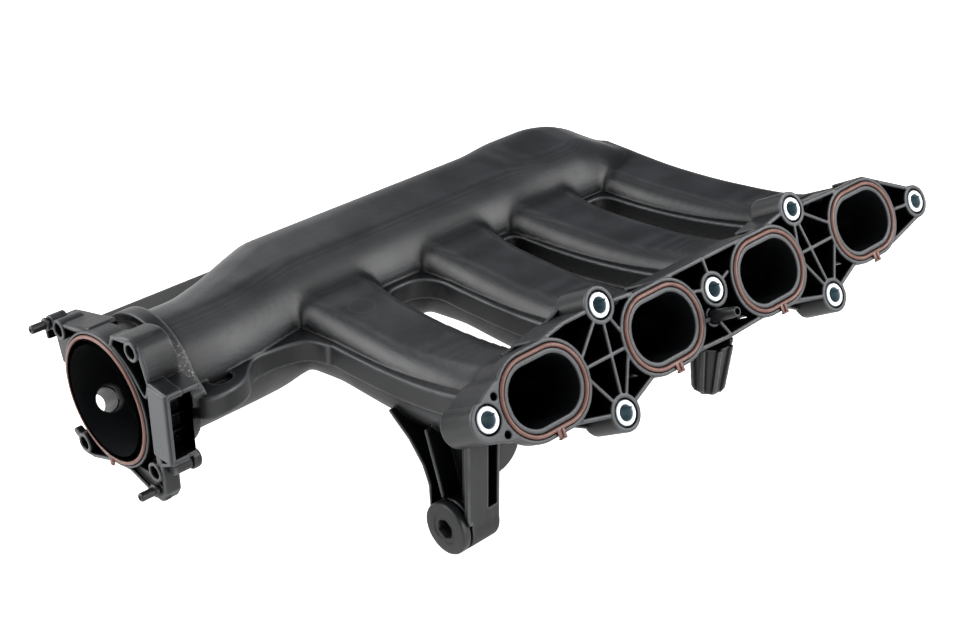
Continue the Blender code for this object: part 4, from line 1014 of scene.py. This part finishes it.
def nylon(name, base=(0.0045, 0.005, 0.0058), shells=True):
    """Black glass-filled nylon: grain, clouds and specks; on the shells also cut end faces, ejector rings,
    scuffs, painted highlights on convex edges and round the collar's rim, and painted shade in recesses and
    creases.
    """
    n = Nodes(name)
    fine, cloud, speck = n.noise(1500, 3, 0.7), n.noise(38, 4, 0.55), n.noise(1100, 2, 0.6)
    colour = n.mix(n.remap(cloud, 0.35, 0.75), base, tuple(c * 1.5 for c in base))
    colour = n.mix(n.remap(speck, 0.6, 0.8, 0, 0.6), colour, tuple(c * 2.4 + 0.008 for c in base))
    rough = n.remap(cloud, 0.3, 0.8, 0.4, 0.31)
    normal = n.bump(fine, 0.22, 0.0005)
    normal = n.bump(n.noise(430, 3, 0.55), 0.12, 0.0008, normal)
    if not shells:
        return n.finish(colour, rough, 0.0, normal)
    head = n.times(n.remap(n.dot(n.normal, (0, -LEAN_COS, LEAN_SIN)), 0.97, 0.998),
                   n.remap(n.dot(n.position, (0, -LEAN_COS, LEAN_SIN)), -0.0024, -0.0012))
    front = n.times(n.remap(n.dot(n.normal, (-1, 0, 0)), 0.97, 0.998),
                    n.remap(n.dot(n.position, (-1, 0, 0)), 0.2893, 0.2905))
    flat = n.math("MAXIMUM", head, front)
    colour = n.mix(n.times(flat, n.remap(fine, 0.2, 0.8, 0.55, 1.0)), colour, (0.066, 0.07, 0.076))
    edge = n.node("Attribute", attribute_name="edge").outputs["Fac"]
    # painted highlight: convex edges made lighter, as if their rounding caught the light
    painted_edge_highlight = n.times(n.remap(edge, 0.25, 0.9), n.remap(cloud, 0.3, 0.6, 0.4, 1.0))
    colour = n.mix(painted_edge_highlight, colour, (0.06, 0.063, 0.068))
    for place, share in EJECTOR_MARKS:
        ring = n.math("ABSOLUTE", n.math("SUBTRACT", n.distance(place), EJECTOR_RADIUS))
        colour = n.mix(n.remap(ring, 0.0, 0.00045, share, 0), colour, (0.07, 0.073, 0.078))
    along, up = n.dot(n.position, (1, 0, 0)), n.dot(n.position, (0, 0, 1))
    # painted highlight: a light line round the collar close to its end face, as if the rounded edge caught
    # the light
    painted_rim_highlight = n.remap(n.math("ABSOLUTE", n.math("SUBTRACT", along, RIM_X)), 0.0002, 0.0008, 1, 0)
    painted_rim_highlight = n.times(painted_rim_highlight, n.remap(n.distance((RIM_X, NECK_Y, LEVEL)), 0.052, 0.0505))
    painted_rim_highlight = n.times(painted_rim_highlight, n.remap(up, -0.0185, -0.0175))
    colour = n.mix(n.times(painted_rim_highlight, n.remap(cloud, 0.3, 0.6, 0.3, 0.8)), colour, (0.11, 0.113, 0.118))
    scuffs = n.times(n.remap(n.noise(520, 3, 0.7), 0.57, 0.63), n.remap(n.distance(SCUFFED), 0.02, 0.009))
    scuffs = n.times(scuffs, n.remap(along, -0.256, -0.2568))
    colour = n.mix(scuffs, colour, (0.3, 0.3, 0.3))
    # painted shade: recesses and creases darkened towards a third of the base colour, with less specular
    # there
    unshaded_share = n.times(n.openness(), n.remap(edge, -0.9, -0.2))
    colour = n.mix(unshaded_share, tuple(c * 0.3 for c in base), colour)
    specular_with_painted_shade = n.remap(unshaded_share, 0, 1, 0.1, 0.5)
    return n.finish(colour, rough, 0.0, normal, **{"Specular IOR Level": specular_with_painted_shade})


def seal_rubber():
    n = Nodes("seal_rubber")
    cloud, fine = n.noise(160, 3), n.noise(3000, 2)
    colour = n.mix(n.remap(cloud, 0.3, 0.75), (0.125, 0.05, 0.034), (0.18, 0.08, 0.06))
    return n.finish(colour, n.remap(cloud, 0.3, 0.8, 0.42, 0.3), 0.0, n.bump(fine, 0.1, 0.0002),
                    **{"Specular IOR Level": 0.6})


def zinc_steel():
    n = Nodes("zinc_steel")
    cloud, fine = n.noise(420, 4, 0.6), n.noise(2600, 2)
    colour = n.mix(n.remap(cloud, 0.35, 0.7), (0.88, 0.91, 0.93), (0.74, 0.79, 0.83))
    # painted shade: the sleeves' bores and other hollows darkened to blue-grey by ambient occlusion
    colour = n.mix(n.openness(0.012), (0.26, 0.37, 0.42), colour)
    return n.finish(colour, n.remap(fine, 0.3, 0.8, 0.42, 0.58), 0.75, n.bump(cloud, 0.08, 0.0003))


def insert_brass():
    n = Nodes("insert_brass")
    cloud, fine = n.noise(500, 4, 0.6), n.noise(4200, 1)
    colour = n.mix(n.remap(cloud, 0.3, 0.75), (0.72, 0.52, 0.24), (0.46, 0.31, 0.13))
    return n.finish(colour, n.remap(fine, 0.3, 0.8, 0.28, 0.46), 1.0, n.bump(fine, 0.1, 0.0002))


def dress(obj, name, node, paint, body="manifold"):
    """Names a finished piece, paints it and lets it ride with its body in place of a CAD node."""
    material, slot = paint
    obj.name = name
    obj.data.name = name
    obj.data.materials.clear()
    obj.data.materials.append(material)
    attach(obj, body)
    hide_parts(node)


def build_object():
    black = nylon("black_nylon"), "black_nylon"
    # the small parts' copy of the black nylon, with a lighter base: painted light, brightening the hose
    # stub's bore and the other small parts
    small_black_painted_lighter = nylon("black_nylon_small", (0.007, 0.0074, 0.0082), False), "black_nylon"
    rubber, zinc, brass = ((maker(), maker.__name__) for maker in (seal_rubber, zinc_steel, insert_brass))
    skin, fine = STEPS
    upper, lower = build_shells(skin)
    for name, pieces in (("upper_shell", upper), ("lower_shell", lower)):
        for i, piece in enumerate(pieces):
            piece.cycles.shadow_terminator_offset = 0.2     # keeps facets out of grazing light
            dress(piece, f"{name}_skin_{i + 1}", name, black)
    for maker, name in ((build_head, "head_flange"), (build_throttle, "throttle_flange"),
                        (build_leg, "support_leg"), (build_post, "finned_post")):
        for i, piece in enumerate(maker(fine)):
            dress(piece, f"{name}_{i + 1}", "lower_shell", black)
    for i in range(4):
        dress(port_seal(i), f"port_seal_cord_{i + 1}", f"port_seal_{i + 1}", rubber)
    dress(throttle_seal(), "throttle_seal_cord", "throttle_seal", rubber)
    for i in range(7):
        dress(flange_sleeve(i), f"bolt_sleeve_{i + 1}", f"flange_sleeve_{i + 1}", zinc)
    dress(locating_tube(), "locating_spigot", "locating_tube", small_black_painted_lighter)
    for i, spot in enumerate(HOLES):
        screw_insert = insert(throttle_place(spot, 0.004), 0.01)
        dress(screw_insert, f"screw_insert_{i + 1}", f"throttle_insert_{i + 1}", brass)
    for name, spot in zip(("upper", "lower"), PEGS):
        dress(throttle_peg(spot), f"peg_{name}", f"throttle_peg_{name}", small_black_painted_lighter)
    dress(bracket_plug(), "bracket_knob", "bracket_plug", small_black_painted_lighter)
    dress(hose_nipple(), "hose_stub", "hose_nipple", small_black_painted_lighter)
    dress(insert(foot_place(LEG_INSERT_X), 0.006), "foot_insert", "leg_insert", brass)
    post = Matrix.Translation((*POST_AT, POST_Z[0] + 0.0003))
    dress(insert(post, 0.0125), "post_screw_insert", "post_insert", brass)
    dress(leg_bush(), "screw_out_bush", "leg_bush", small_black_painted_lighter, "bush")
    dress(leg_clip(), "bush_clip", "leg_clip", zinc, "clip")


# ---- Studio ----
def softbox(name, azimuth, elevation, size, power, distance=1.3):
    """A rectangular light that faces the middle of the manifold."""
    lamp = bpy.data.lights.new(name, "AREA")
    lamp.shape = "RECTANGLE"
    lamp.size, lamp.size_y = size
    lamp.energy = power
    obj = place_object(name, lamp)
    turn, rise = radians(azimuth), radians(elevation)
    out = Vector((cos(turn) * cos(rise), sin(turn) * cos(rise), sin(rise)))
    obj.location = Vector((-0.02, 0.1, -0.03)) + out * distance
    obj.rotation_euler = (-out).to_track_quat("-Z", "Y").to_euler()


def build_studio():
    world = bpy.data.worlds.new("studio")
    world.use_nodes = True
    tree = world.node_tree
    background = tree.nodes["Background"]
    rays = tree.nodes.new("ShaderNodeLightPath")
    choice = tree.nodes.new("ShaderNodeMix")
    choice.data_type = "RGBA"
    choice.inputs[6].default_value = (0.095, 0.1, 0.108, 1)
    choice.inputs[7].default_value = (1, 1, 1, 1)
    tree.links.new(rays.outputs["Is Camera Ray"], choice.inputs["Factor"])
    tree.links.new(choice.outputs[2], background.inputs["Color"])
    bpy.context.scene.world = world
    floor = mesh_object("floor", [(-6, -6, 0), (6, -6, 0), (6, 6, 0), (-6, 6, 0)], [(0, 1, 2, 3)])
    floor.location = (0, 0, cad_low.z - 0.0005)
    n = Nodes("studio_floor")
    colour = n.mix(n.noise(3, 2), (0.8, 0.8, 0.8), (0.84, 0.84, 0.83))
    seen = n.node("LightPath").outputs["Is Camera Ray"]
    more = {"Emission Color": (1.0, 0.985, 0.96, 1), "Emission Strength": n.remap(seen, 0, 1, 0.3, 1.1)}
    floor.data.materials.append(n.finish(colour, 0.95, 0.0, n.bump(n.noise(40, 2), 0.02, 0.001), **more))
    for light in (
        ("right", 315, 34, (0.75, 1.05), 15.5), ("left", 135, 26, (0.75, 1.3), 16.5),
        ("front", 270, 14, (0.75, 0.8), 6.9), ("side", 180, 36, (0.75, 1.6), 7.4),
        ("rear", 80, 22, (0.9, 0.9), 2.4), ("top", 0, 76, (0.9, 0.9), 2.4),
    ):
        softbox(*light)


def build_camera():
    lens = bpy.data.cameras.new("camera")
    lens.lens, lens.sensor_width = 62.27, 36
    lens.clip_start = 0.01
    right, down, ahead = (0.7173, -0.6967, -0.0002), (-0.3456, -0.3555, -0.8684), (0.605, 0.623, -0.4958)
    turn = Matrix([[right[i], -down[i], -ahead[i]] for i in range(3)]).to_4x4()
    camera = place_object("camera", lens, Matrix.Translation((-0.6816, -0.5046, 0.463)) @ turn)
    bpy.context.scene.camera = camera
    bpy.context.scene.view_settings.view_transform = "Standard"


build_object()
build_studio()
build_camera()
